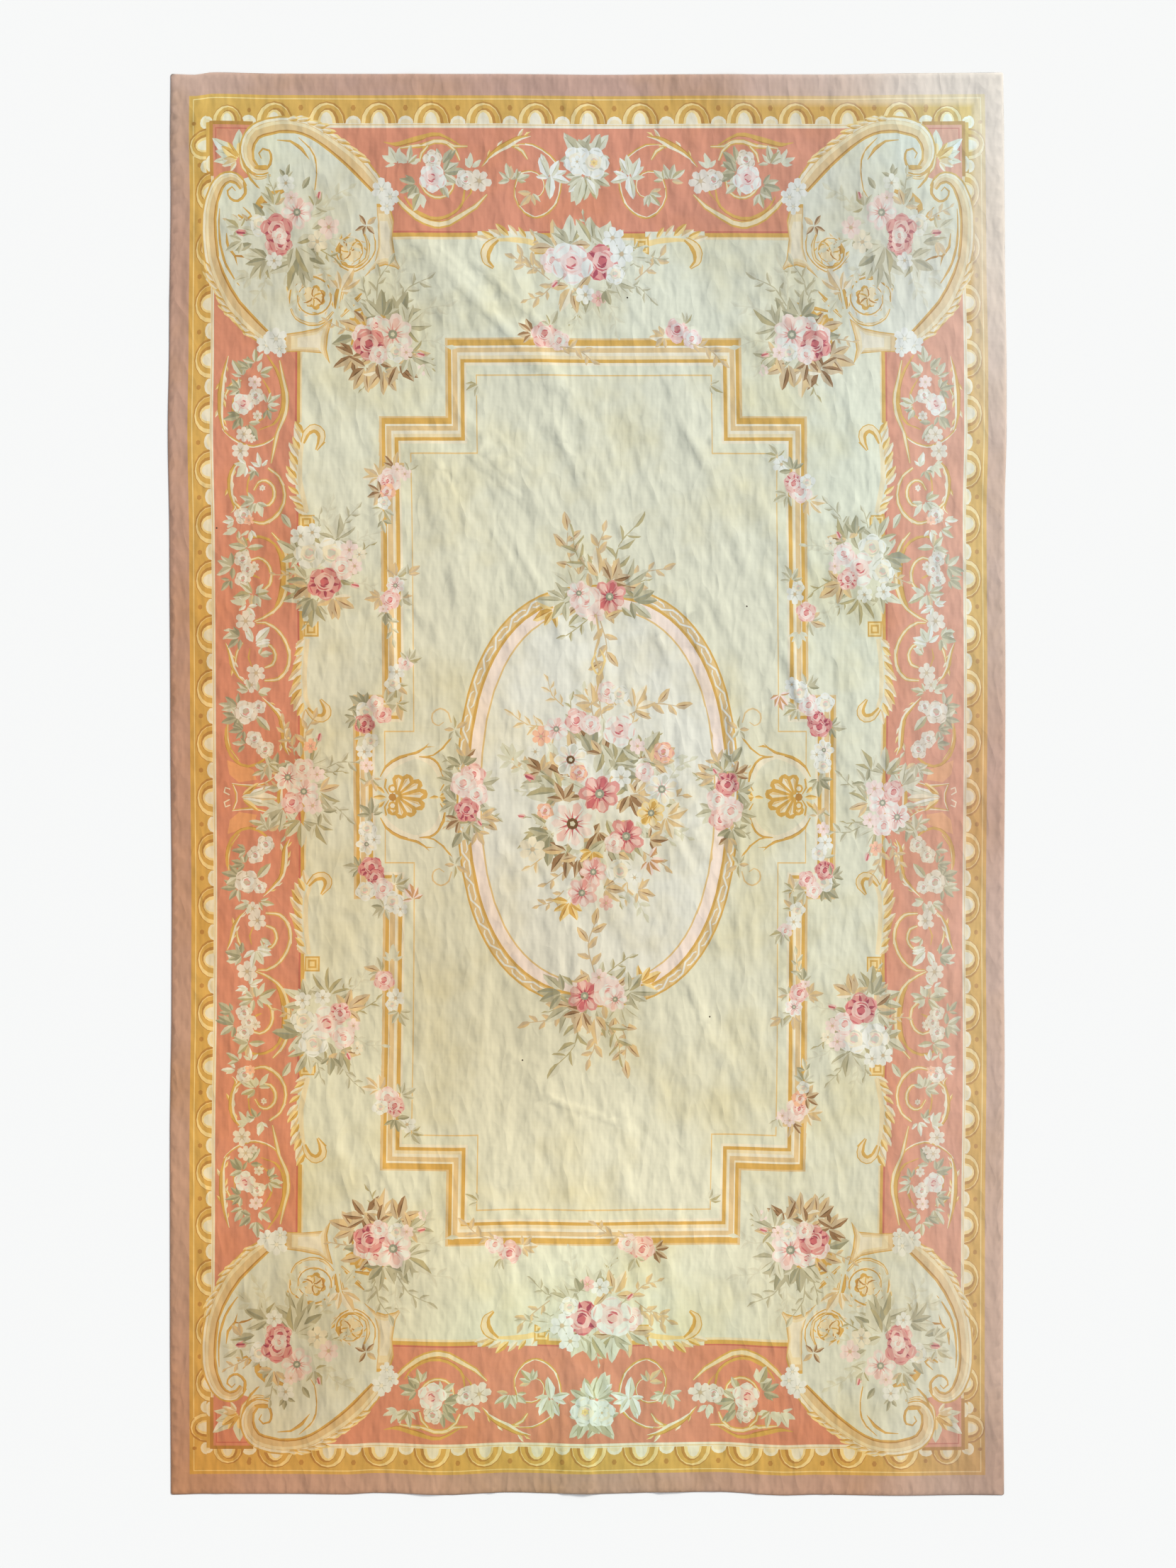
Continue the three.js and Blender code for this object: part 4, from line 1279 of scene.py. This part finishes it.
# %% Triangles from the outlines
GRID_ACROSS = 26.0
GRID_ALONG = 48.0
MERGED_WITHIN = 0.6  # points closer than this, in mm, become one
SPARE = 0.3  # an edge may be longer than a grid cell by this share of one
STRAIGHT_WITHIN = 1.8  # a point that bends an edge by less than this, in mm, is left out
RIM = 4.0  # the rounded edge, where the cloth is turned under
CORNER_ROUNDING = 7.0
THINNING_ROUNDS = 2
CREASE_STEP = 34.0  # between the points along a crease
CREASE_MARGIN = 40.0  # free of crease points along the edge
CLOSING_ROUNDS = 4  # enough to find a place in the even design to a small part of a millimetre
HEM_ROWS = (9, 20)  # rows of points across the turned-under edge, in mm inside the rim
GRID_MARGIN = 20.0  # free of grid points inside the rim
UNDERSIDE_GRID = (80.0, 130.0)


def rim_outline(inset):
    """The even rug's outline, moved in, with rounded corners."""
    wide, high = HALF_WIDTH - inset, HALF_LENGTH - inset
    x = np.linspace(-wide + CORNER_ROUNDING, wide - CORNER_ROUNDING, round(2 * wide / GRID_ACROSS))
    y = np.linspace(-high + CORNER_ROUNDING, high - CORNER_ROUNDING, round(2 * high / GRID_ALONG))
    corner = arc(0, 0, CORNER_ROUNDING, CORNER_ROUNDING, 0, 90, 4)[1:-1] - CORNER_ROUNDING
    signs = np.array([(1, 1), (-1, 1), (-1, -1), (1, -1)], float)
    turns = [corner * sign + sign * (wide, high) for sign in signs]
    return np.vstack([
        np.column_stack([np.full(len(y), wide), y]), turns[0],
        np.column_stack([x[::-1], np.full(len(x), high)]), turns[1][::-1],
        np.column_stack([np.full(len(y), -wide), y[::-1]]), turns[2],
        np.column_stack([x, np.full(len(x), -high)]), turns[3][::-1],
    ])


def ring_order(points):
    """The index of each point of the rim among the triangulated points."""
    return [int(np.argmin(np.hypot(*(points - spot).T))) for spot in rim_outline(RIM)]


def inside(points, outline):
    """Which points lie inside an outline, by its winding number."""
    winding = np.zeros(len(points), int)
    x, y = points[:, 0], points[:, 1]
    for (x1, y1), (x2, y2) in zip(outline, np.roll(outline, -1, axis=0)):
        side = (x2 - x1) * (y - y1) - (x - x1) * (y2 - y1)
        winding += (y1 <= y) & (y2 > y) & (side > 0)
        winding -= (y1 > y) & (y2 <= y) & (side < 0)
    return winding != 0


def wool_of(middles, patches):
    """The wool at each place: that of the last patch that it lies in."""
    wools = np.full(len(middles), patches[0][1])
    order = np.argsort(middles[:, 0], kind="stable")
    sorted_x = middles[order, 0]
    for shape, wool in patches[1:]:
        (low_x, low_y), (high_x, high_y) = shape.min(axis=0), shape.max(axis=0)
        near = order[np.searchsorted(sorted_x, low_x):np.searchsorted(sorted_x, high_x)]
        near = near[(middles[near, 1] > low_y) & (middles[near, 1] < high_y)]
        wools[near[inside(middles[near], shape)]] = wool
    return wools


def triangulated(spots, edges, outline):
    """Triangles inside the outline that keep all the edges."""
    out_spots, _, faces, *_ = delaunay_2d_cdt([Vector(p) for p in spots], edges, [], 0, MERGED_WITHIN, False)
    spots = np.array([tuple(p) for p in out_spots])
    triangles = np.array([tuple(f) for f in faces])
    return spots, triangles[inside(spots[triangles].mean(axis=1), outline)]


def visible_edges(triangles, wools):
    """Edges between two different wools, and the rim."""
    sides = np.sort(triangles[:, [0, 1, 1, 2, 2, 0]].reshape(-1, 2), axis=1)
    owner = np.repeat(wools, 3)
    order = np.lexsort(sides.T)
    sides, owner = sides[order], owner[order]
    pair = (sides[1:] == sides[:-1]).all(axis=1)
    lone = ~np.r_[pair, False] & ~np.r_[False, pair]
    return np.vstack([sides[1:][pair & (owner[1:] != owner[:-1])], sides[lone]])


def straightened(spots, edges, fixed):
    """The edges without the points that hardly bend them."""
    joined = {}
    for a, b in edges.tolist():
        joined.setdefault(a, set()).add(b)
        joined.setdefault(b, set()).add(a)
    for _ in range(THINNING_ROUNDS):
        passed = set()
        for at in list(joined):
            if len(joined[at]) != 2 or at in passed or at in fixed:
                continue
            a, b = joined[at]
            if b in joined[a]:
                continue
            chord = spots[b] - spots[a]
            off = spots[at] - spots[a]
            if abs(chord[0] * off[1] - chord[1] * off[0]) > STRAIGHT_WITHIN * np.hypot(*chord):
                continue
            joined[a].remove(at)
            joined[b].remove(at)
            joined[a].add(b)
            joined[b].add(a)
            passed.update((a, b))
            del joined[at]
    return [(a, b) for a in joined for b in joined[a] if a < b]


def with_steps(spots, edges, grid_x, grid_y):
    """Long edges, cut into steps no longer than the grid's cells."""
    added, out = [], []
    for a, b in edges:
        run = spots[b] - spots[a]
        steps = max(1, math.ceil(max(abs(run[0]) / grid_x, abs(run[1]) / grid_y) - SPARE))
        chain = [a] + [len(spots) + len(added) + i for i in range(steps - 1)] + [b]
        added += [spots[a] + run * i / steps for i in range(1, steps)]
        out += list(zip(chain, chain[1:]))
    return np.vstack([spots, added]) if added else spots, out


def crease_rows():
    """Points in rows along each listed crease, so that the mesh can follow its slopes."""
    rows = []
    for from_x, from_y, to_x, to_y, width, _ in CREASES:
        run = np.array([to_x - from_x, to_y - from_y], float)
        sideways = np.array([-run[1], run[0]]) / np.hypot(*run)
        shares = np.linspace(0, 1, round(np.hypot(*run) / CREASE_STEP))[:, None]
        line = np.array([from_x, from_y]) + run * shares
        rows += [line + sideways * width * share for share in (-0.5, -0.25, 0, 0.25, 0.5)]
    on_cloth_places = np.vstack(rows)
    even = on_cloth_places.copy()
    for _ in range(CLOSING_ROUNDS):
        even += on_cloth_places - (on_cloth(even) - CLOTH_SHIFT)
    limits = (HALF_WIDTH - CREASE_MARGIN, HALF_LENGTH - CREASE_MARGIN)
    return even[(np.abs(even) < limits).all(axis=1)]


def woven(patches, grid_x, grid_y, hem_insets=(), more_points=()):
    """Triangulate the patches inside the rim. Gives the points, the triangles and each triangle's wool."""
    outline = rim_outline(RIM)
    points = [outline]
    edges = [(i, (i + 1) % len(outline)) for i in range(len(outline))]
    total = len(outline)
    for shape, wool in patches[1:]:
        points.append(shape)
        edges += [(total + i, total + (i + 1) % len(shape)) for i in range(len(shape))]
        total += len(shape)
    spots, triangles = triangulated(np.vstack(points), edges, outline)
    wools = wool_of(spots[triangles].mean(axis=1), patches)
    kept = visible_edges(triangles, wools)
    edges = straightened(spots, kept, set(ring_order(spots)))
    used = sorted({end for edge in edges for end in edge})
    number = {spot: i for i, spot in enumerate(used)}
    wide = HALF_WIDTH - RIM - GRID_MARGIN - grid_x / 2
    high = HALF_LENGTH - RIM - GRID_MARGIN - grid_y / 2
    columns = np.linspace(-wide, wide, round(2 * wide / grid_x))
    rows = np.linspace(-high, high, round(2 * high / grid_y))
    grid = np.meshgrid(columns, rows)
    edges = [(number[a], number[b]) for a, b in edges]
    spots, edges = with_steps(spots[used], edges, grid_x, grid_y)
    hem_rows = [rim_outline(RIM + inset) for inset in hem_insets]
    grid_points = np.column_stack([grid[0].ravel(), grid[1].ravel()])
    spots = np.vstack([spots, *hem_rows, *more_points, grid_points])
    spots, triangles = triangulated(spots, edges, outline)
    return spots, triangles, wool_of(spots[triangles].mean(axis=1), patches)


rim_places = on_cloth(rim_outline(0.0))
CLOTH_SHIFT = (rim_places.min(axis=0) + rim_places.max(axis=0)) / 2
face_points, face_triangles, face_wools = woven(design, GRID_ACROSS, GRID_ALONG, HEM_ROWS, [crease_rows()])
print("upper face:", len(face_points), "points,", len(face_triangles), "triangles")

# %% [markdown]
# ## One closed cloth
#
# A real cloth has two faces and an edge. The underside gets only the plain parts of the design, in a
# coarser mesh, since it lies on the floor. The two faces are joined by a rounded rim, where the
# weaver turned the cloth under. Triangles can't show a smooth ripple by themselves, so each point also
# gets the true slope of the folds as its normal.

# %% Upper face, rim and underside in one mesh
CLOTH_THICKNESS = 2.5
HEM_WIDTH = 26.0
HEM_RISE = 1.2
INSIDE_THE_RIM = 0.995  # share of the way from the middle to the rim
PLAIN_PATCHES = 1 + len(BANDS)


def hem_rise(points):
    """The turned-under edge is double cloth: a soft rise along the rim."""
    inside_by = np.minimum(HALF_WIDTH - np.abs(points[:, 0]), HALF_LENGTH - np.abs(points[:, 1]))
    t = np.clip(1 - np.abs(inside_by - HEM_WIDTH * 0.6) / (HEM_WIDTH * 0.6), 0, 1)
    return HEM_RISE * t * t * (3 - 2 * t)


def raised(even_points, lift, hem):
    """Points of the even design as points in space, on the uneven and folded cloth, in millimetres."""
    flat = on_cloth(even_points) - CLOTH_SHIFT
    return np.column_stack([flat, cloth_height(flat) + lift + hem * hem_rise(even_points)])


under_points, under_triangles, under_wools = woven(design[:PLAIN_PATCHES], *UNDERSIDE_GRID)
print("underside:", len(under_triangles), "triangles")

rim_count = len(rim_outline(RIM))
upper = raised(face_points, CLOTH_THICKNESS, 1)
lower = raised(under_points, 0.0, 0)
inner = np.abs(under_points / (HALF_WIDTH, HALF_LENGTH)).max(axis=1) < INSIDE_THE_RIM
# The underside's coarse triangles take the lowest height round each point, so they stay under the face.
for across in (-1, -0.5, 0, 0.5, 1):
    for along in (-1, -0.5, 0, 0.5, 1):
        there = cloth_height(lower[inner, :2] + np.array(UNDERSIDE_GRID) * (across, along))
        lower[inner, 2] = np.minimum(lower[inner, 2], there)
edge_ring = raised(rim_outline(0.0), CLOTH_THICKNESS / 2, 0.5)
all_points = np.vstack([upper, lower, edge_ring])
print("heights, mm:", all_points[:, 2].min().round(2), "to", all_points[:, 2].max().round(2))


upper_ring = ring_order(face_points)
lower_ring = [len(upper) + i for i in ring_order(under_points)]
edge_first = len(upper) + len(lower)
rim_faces = []
for i in range(rim_count):
    j = (i + 1) % rim_count
    a, b = edge_first + i, edge_first + j
    rim_faces += [(a, b, upper_ring[j]), (a, upper_ring[j], upper_ring[i])]
    rim_faces += [(b, a, lower_ring[i]), (b, lower_ring[i], lower_ring[j])]


def facing_up(points, triangles):
    """The triangles, all turned anticlockwise seen from above."""
    a, b, c = (points[triangles[:, k]] for k in range(3))
    clockwise = (b[:, 0] - a[:, 0]) * (c[:, 1] - a[:, 1]) < (b[:, 1] - a[:, 1]) * (c[:, 0] - a[:, 0])
    out = triangles.copy()
    out[clockwise] = out[clockwise][:, ::-1]
    return out


face_triangles = facing_up(face_points, face_triangles)
under_triangles = facing_up(under_points, under_triangles)[:, ::-1] + len(upper)
all_faces = np.vstack([face_triangles, under_triangles, np.array(rim_faces)])
all_wools = np.concatenate([face_wools, under_wools, np.full(len(rim_faces), WOOL_NAMES.index("mauve"))])

cloth_mesh = bpy.data.meshes.new("aubusson_rug")
cloth_mesh.from_pydata((all_points * MM).tolist(), [], all_faces.tolist())
cloth_mesh.update()
rug = bpy.data.objects.new("aubusson_rug", cloth_mesh)
bpy.context.scene.collection.objects.link(rug)
print("rug:", len(cloth_mesh.vertices), "points,", len(cloth_mesh.polygons), "triangles")

# %% Normals from the folds, colours and a map of the faces
SLOPE_STEP = 3.0


def slope_normals(flat):
    """Unit normals of the folded cloth at places on it."""
    step_x, step_y = np.array([SLOPE_STEP, 0]), np.array([0, SLOPE_STEP])
    by_x = (cloth_height(flat + step_x) - cloth_height(flat - step_x)) / (2 * SLOPE_STEP)
    by_y = (cloth_height(flat + step_y) - cloth_height(flat - step_y)) / (2 * SLOPE_STEP)
    normals = np.column_stack([-by_x, -by_y, np.ones(len(flat))])
    return normals / np.linalg.norm(normals, axis=1)[:, None]


normals = np.vstack([slope_normals(upper[:, :2]), -slope_normals(lower[:, :2]), np.zeros((rim_count, 3))])
outwards = np.array(rim_outline(0.0)) / (HALF_WIDTH, HALF_LENGTH)
outwards = np.where(np.abs(outwards) > 0.99, np.sign(outwards), 0)  # straight out of the nearest edge
normals[edge_first:, :2] = outwards / np.maximum(np.linalg.norm(outwards, axis=1), 1e-6)[:, None]
for ring, tilt in ((upper_ring, 1.0), (lower_ring, -1.0)):
    normals[ring] = normals[edge_first:] * 0.4 + (0, 0, 0.9 * tilt)
cloth_mesh.shade_smooth()
cloth_mesh.normals_split_custom_set_from_vertices(normals.tolist())

corner_colours = np.ones((len(all_faces) * 3, 4), np.float32)
corner_colours[:, :3] = np.repeat(WOOL_LINEAR[all_wools], 3, axis=0)
woven_colour = cloth_mesh.color_attributes.new("woven_colour", "FLOAT_COLOR", "CORNER")
woven_colour.data.foreach_set("color", corner_colours.ravel())

UNDERSIDE_STRIP = 0.03  # share of the map's width that the underside gets
MAP_MARGIN = 40.0
face_map = cloth_mesh.uv_layers.new(name="OFBake")
span = np.array([2 * HALF_WIDTH + MAP_MARGIN, 2 * HALF_LENGTH + MAP_MARGIN])
corner_points = all_points[all_faces.ravel()][:, :2] / span + 0.5
under = np.zeros(len(all_faces), bool)
under[len(face_triangles):len(face_triangles) + len(under_triangles)] = True
under_corners = np.repeat(under, 3)
corner_points[:, 0] = np.where(under_corners, corner_points[:, 0] * UNDERSIDE_STRIP * 0.9,
                               UNDERSIDE_STRIP + corner_points[:, 0] * (1 - UNDERSIDE_STRIP))
face_map.data.foreach_set("uv", corner_points.astype(np.float32).ravel())
print("coloured corners:", len(corner_colours))

# %% [markdown]
# ## Wool tapestry weave
#
# Wool weft is beaten so close that it hides the warps, which leaves fine ribs 3 mm apart and a matt face
# with a soft sheen from its fibre ends. Hand-dyed yarn is never even, so thin streaks run along the weft.
# They are drawn about 10 mm wide, coarser than real yarn, so that they show from a step away. Age adds
# clouds and stains. Light is painted into the colour too: a warmer, darker lower left, a cooler upper right,
# a pale veil of light over the right side and its upper corner, and soft tinted areas, the bright ones at the
# upper corners painted light. The smallest creases are bump, since a mesh fine enough for them would be
# very heavy. Wool's IOR is about 1.55, and its face is very rough.

# %% Small functions for nodes
wool = bpy.data.materials.new("wool_tapestry_weave")
wool.use_nodes = True
tree = wool.node_tree
tree.nodes.clear()


def add(kind, settings=None, **links):
    """Add a node. `settings` are its properties or socket values. `links` join its sockets to other nodes."""
    node = tree.nodes.new("ShaderNode" + kind)
    for key, value in (settings or {}).items():
        if isinstance(key, str) and hasattr(node, key):
            setattr(node, key, value)
        else:
            node.inputs[key].default_value = value
    for name, source in links.items():
        socket = int(name[2:]) if name.startswith("in") and name[2:].isdigit() else name.replace("_", " ")
        tree.links.new(source.outputs[0] if hasattr(source, "outputs") else source, node.inputs[socket])
    return node


def noise(per_unit, detail, roughness, at, settings=None):
    """Soft noise with so many lumps to the unit of its place."""
    lumps = {**(settings or {}), "Scale": per_unit, "Detail": detail, "Roughness": roughness}
    return add("TexNoise", lumps, Vector=at)


def ramp(source, low, high, to_low=0.0, to_high=1.0, curve="LINEAR"):
    """A value stretched from one range to another and held at its ends."""
    return add("MapRange", {"From Min": low, "From Max": high, "To Min": to_low, "To Max": to_high,
                            "interpolation_type": curve}, Value=source)


def maths(operation, first, second):
    """Two values, or a value and a number, put together."""
    if isinstance(second, float):
        return add("Math", {"operation": operation, 1: second}, in0=first)
    return add("Math", {"operation": operation}, in0=first, in1=second)


def tinted(colour, first, second, share):
    """A colour times a tint that lies between two tints."""
    tint = add("Mix", {"data_type": "RGBA", 6: (*first, 1), 7: (*second, 1)}, Factor=share)
    return add("VectorMath", {"operation": "MULTIPLY"}, in0=colour, in1=tint.outputs[2])


def bump(strength, depth, height, **below):
    """A bump `depth` mm deep, on top of the one below it."""
    return add("Bump", {"Strength": strength, "Distance": depth * MM}, Height=height, **below)


# %% Dyed yarn: streaks and clouds
STREAK_WIDTH = 10.0
STREAK_LENGTH = 260.0
CLOUDS_PER_METRE = 3.2
NO_TINT = (1, 1, 1)

place = add("TexCoord").outputs["Object"]
dyed = add("VertexColor", {"layer_name": "woven_colour"})
streak_place = add("Mapping", {"Scale": (1 / (STREAK_WIDTH * MM), 1 / (STREAK_LENGTH * MM), 1)}, Vector=place)
streak_tone = ramp(noise(1.0, 4.0, 0.65, streak_place), 0.25, 0.75, 0.95, 1.045)
cloud_tone = ramp(noise(CLOUDS_PER_METRE, 3.0, 0.55, place), 0.3, 0.7, 0.95, 1.04)
tone = maths("MULTIPLY", streak_tone, cloud_tone)
yarn = add("VectorMath", {"operation": "SCALE"}, in0=dyed, Scale=tone)

# %% Painted light, stains and tinted areas
# Painted light: towards the lower left the colour turns warmer and darker, towards the upper right cooler, as
# the light falls across the rug.
WARM_SHADE_WAY = (-0.30, -0.28, 0)  # towards the lower left
PAINTED_COOL_LIGHT, PAINTED_WARM_SHADE = (1.0, 1.05, 1.17), (1.08, 0.955, 0.785)
STAINS_PER_METRE = 2.3
CLEAN, STAINED = (1.02, 1.02, 1.03), (0.97, 0.92, 0.80)
# Soft areas, each with its own tint. The bright, cool ones at the two upper corners and on the right side are
# painted light; the others make the cloth darker or lighter where they lie.
LIT_AND_TINTED_AREAS = [
    # metres across and along, how far it reaches, and its tint
    (-1.40, -2.40, 0.7, (0.97, 0.88, 0.84)), (-1.05, -2.00, 0.8, (0.80, 0.78, 0.78)),
    (1.05, -2.00, 0.8, (0.90, 0.89, 0.84)), (-0.35, -0.75, 0.9, (0.92, 0.89, 0.85)),
    (0.05, -1.70, 1.1, (1.13, 1.15, 1.19)), (-1.40, 0.10, 1.5, (0.94, 0.86, 0.80)),
    (-1.00, 1.90, 0.8, (0.90, 0.85, 0.77)), (0.85, 2.00, 0.7, (0.88, 0.86, 0.83)),
    (-1.45, 2.55, 0.8, (1.06, 1.18, 1.22)), (1.50, 2.45, 0.7, (1.03, 1.32, 1.46)),
    (1.50, 0.90, 1.1, (1.06, 1.10, 1.08)), (1.47, -2.42, 0.4, (0.66, 0.55, 0.47)),
    (1.55, 0.00, 0.6, (0.88, 0.70, 0.62)), (0.00, -2.30, 0.9, (0.84, 1.04, 1.12)),
]

apart = add("SeparateXYZ", Vector=place)
# The painted warm shade and cool light come first, then the stains, then the tinted areas.
warm_shade_by = add("VectorMath", {"operation": "DOT_PRODUCT", 1: WARM_SHADE_WAY}, in0=place).outputs["Value"]
lit_and_stained = tinted(yarn, PAINTED_COOL_LIGHT, PAINTED_WARM_SHADE, ramp(warm_shade_by, -0.6, 0.85))
lit_and_stained = tinted(lit_and_stained, CLEAN, STAINED, ramp(noise(STAINS_PER_METRE, 4.0, 0.6, place), 0.46, 0.68))
for area_x, area_y, reach, tint in LIT_AND_TINTED_AREAS:
    away = add("VectorMath", {"operation": "DISTANCE", 1: (area_x, area_y, 0)}, in0=place).outputs["Value"]
    lit_and_stained = tinted(lit_and_stained, NO_TINT, tint, ramp(away, 0.0, reach, 1.0, 0.0, "SMOOTHSTEP"))

# %% Painted light: a pale veil of light over the right side, most of all at its upper corner
LIGHT_VEIL_CORNER = (1.6, 2.3, 0.0)
GUARD_AT_SIDE = 1.36  # metres from the middle to the guard's inner border
GUARD_AT_END = 2.395
GUARD_BLEND = 0.01
# The pale colour of the painted veil of light.
LIGHT_VEIL_COLOUR = "#f0ece0"

from_corner = add("VectorMath", {"operation": "DISTANCE", 1: LIGHT_VEIL_CORNER}, in0=place).outputs["Value"]
corner_veil = ramp(from_corner, 0.3, 1.8, 0.08, 0.0, "SMOOTHSTEP")
side_veil = ramp(apart.outputs["X"], 0.9, 1.3, 0.0, 0.19, "SMOOTHSTEP")
# Painted light: the veil is thinner on wools with little blue, so the gold keeps its colour under it.
dye_parts = add("SeparateColor", Color=dyed)
veil_by_blue = ramp(dye_parts.outputs["Blue"], 0.09, 0.15, 0.6, 1.0)
wool_veil = maths("MULTIPLY", maths("ADD", corner_veil, side_veil), veil_by_blue)
beyond_side = maths("ADD", apart.outputs["X"], GUARD_AT_END - GUARD_AT_SIDE)
outermost = maths("MAXIMUM", beyond_side, apart.outputs["Y"])
on_guard = ramp(outermost, GUARD_AT_END - GUARD_BLEND, GUARD_AT_END + GUARD_BLEND)
# The mauve guard takes more of the painted veil near the upper right corner.
guard_veil = maths("MULTIPLY", on_guard, ramp(from_corner, 0.5, 1.2, 0.36, 0.0))
light_veil = maths("ADD", wool_veil, guard_veil)
veiled = add("Mix", {"data_type": "RGBA", 7: (*linear(LIGHT_VEIL_COLOUR), 1)}, Factor=light_veil, in6=lit_and_stained)

# %% Creases, ribs and nap, and the finished wool
CREASE_WIDTH = 62.0
CREASE_LENGTH = 140.0
CREASE_DEPTH = 12.5
CREASE_LEAN = 20.0  # degrees off the rug's length
SHARPNESS = -1.1  # how much the sharp backs add to the soft creases
RIB_PITCH = 3.0
WAVE_STEP = 0.314  # the wave texture repeats once in this many units, at a scale of 1
RIB_DEPTH = 0.4
NAP_LUMPS_PER_METRE = 90.0
NAP_DEPTH = 0.7

slanted = add("Mapping", {"Rotation": (0, 0, math.radians(CREASE_LEAN)),
                          "Scale": (1 / CREASE_WIDTH, 1 / CREASE_LENGTH, 0)}, Vector=place)
soft_creases = noise(1 / MM, 2.0, 0.5, slanted)
# Where this noise passes its middle it turns back, which makes the sharp backs of the smaller creases.
sharp = noise(0.8 / MM, 1.0, 0.5, slanted, {"noise_dimensions": "4D", "W": 5.0})
crease_backs = add("Math", {"operation": "ABSOLUTE"}, in0=maths("SUBTRACT", sharp, 0.5))
crease_height = add("Math", {"operation": "MULTIPLY_ADD", 1: SHARPNESS}, in0=crease_backs, in2=soft_creases)
crease_bump = bump(1.0, CREASE_DEPTH, crease_height)
rib_wave = {"bands_direction": "Y", "Scale": WAVE_STEP / (RIB_PITCH * MM), "Distortion": 0.3}
ribs = add("TexWave", rib_wave, Vector=place)
rib_bump = bump(0.35, RIB_DEPTH, ribs.outputs["Fac"], Normal=crease_bump)
nap_bump = bump(0.4, NAP_DEPTH, noise(NAP_LUMPS_PER_METRE, 3.0, 0.6, place), Normal=rib_bump)
wool_face = {
    "Roughness": 0.93, "IOR": 1.55, "Specular IOR Level": 0.18, "Sheen Weight": 0.12, "Sheen Roughness": 0.5,
}
shader = add("BsdfPrincipled", wool_face, Base_Color=veiled.outputs[2], Normal=nap_bump)
add("OutputMaterial", Surface=shader)
cloth_mesh.materials.append(wool)
print("wool nodes:", len(tree.nodes))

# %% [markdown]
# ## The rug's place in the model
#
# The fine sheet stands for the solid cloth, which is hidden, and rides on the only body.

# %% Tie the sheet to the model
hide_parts("tapestry_cloth")
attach(rug, "root")
print("sheet, m:", 2 * HALF_WIDTH * MM, "by", 2 * HALF_LENGTH * MM)

# %% [markdown]
# ## Floor, light and camera
#
# The rug lies on a plain white floor and is seen from straight above. Soft light from the upper right grazes
# it, so that the low ripples show, and a wide pale light from above fills their shadows.

# %% Floor
floor_mesh = bpy.data.meshes.new("floor")
FLOOR_HALF = 40.0  # metres
FLOOR_GAP = 0.5 * MM
floor_mesh.from_pydata([(x, y, 0) for x, y in box_outline(FLOOR_HALF, FLOOR_HALF)], [], [(0, 1, 2, 3)])
floor = bpy.data.objects.new("floor", floor_mesh)
bpy.context.scene.collection.objects.link(floor)
floor.location.z = -FLOOR_GAP
painted = bpy.data.materials.new("matt_white_floor_paint")
painted.use_nodes = True
floor_shader = painted.node_tree.nodes["Principled BSDF"]
floor_shader.inputs["Base Color"].default_value = (*linear("#f6f6f4"), 1)
floor_shader.inputs["Roughness"].default_value = 0.9
floor_mesh.materials.append(painted)

# %% Lights and camera
LIGHT_FROM = (0.78, 0.62, 0.56)  # the upper right, about 30 degrees above the floor
window_light = bpy.data.lights.new("window_light", "SUN")
window_light.energy = 2.9
window_light.angle = math.radians(16)
window_light.color = linear("#fffcf6")
window = bpy.data.objects.new("window_light", window_light)
window.rotation_euler = Vector(LIGHT_FROM).to_track_quat("Z", "Y").to_euler()
bpy.context.scene.collection.objects.link(window)

world = bpy.data.worlds.new("pale_room")
world.use_nodes = True
world.node_tree.nodes["Background"].inputs["Color"].default_value = (*linear("#f4f8ff"), 1)
world.node_tree.nodes["Background"].inputs["Strength"].default_value = 0.62
bpy.context.scene.world = world
bpy.context.scene.view_settings.view_transform = "Standard"

PICTURE_HEIGHT = 2212 * 2.5 * MM  # the picture shows 2.5 mm of floor in a pixel
CAMERA_HEIGHT = 16.0
CAMERA_ASIDE = 3 * MM
camera = bpy.data.cameras.new("camera")
camera.sensor_fit = "VERTICAL"
camera.sensor_height = 36.0
camera.lens = camera.sensor_height * CAMERA_HEIGHT / PICTURE_HEIGHT
camera_holder = bpy.data.objects.new("camera", camera)
camera_holder.location = (CAMERA_ASIDE, 0.0, CAMERA_HEIGHT)
bpy.context.scene.collection.objects.link(camera_holder)
bpy.context.scene.camera = camera_holder
print("camera lens, mm:", round(camera.lens, 1))
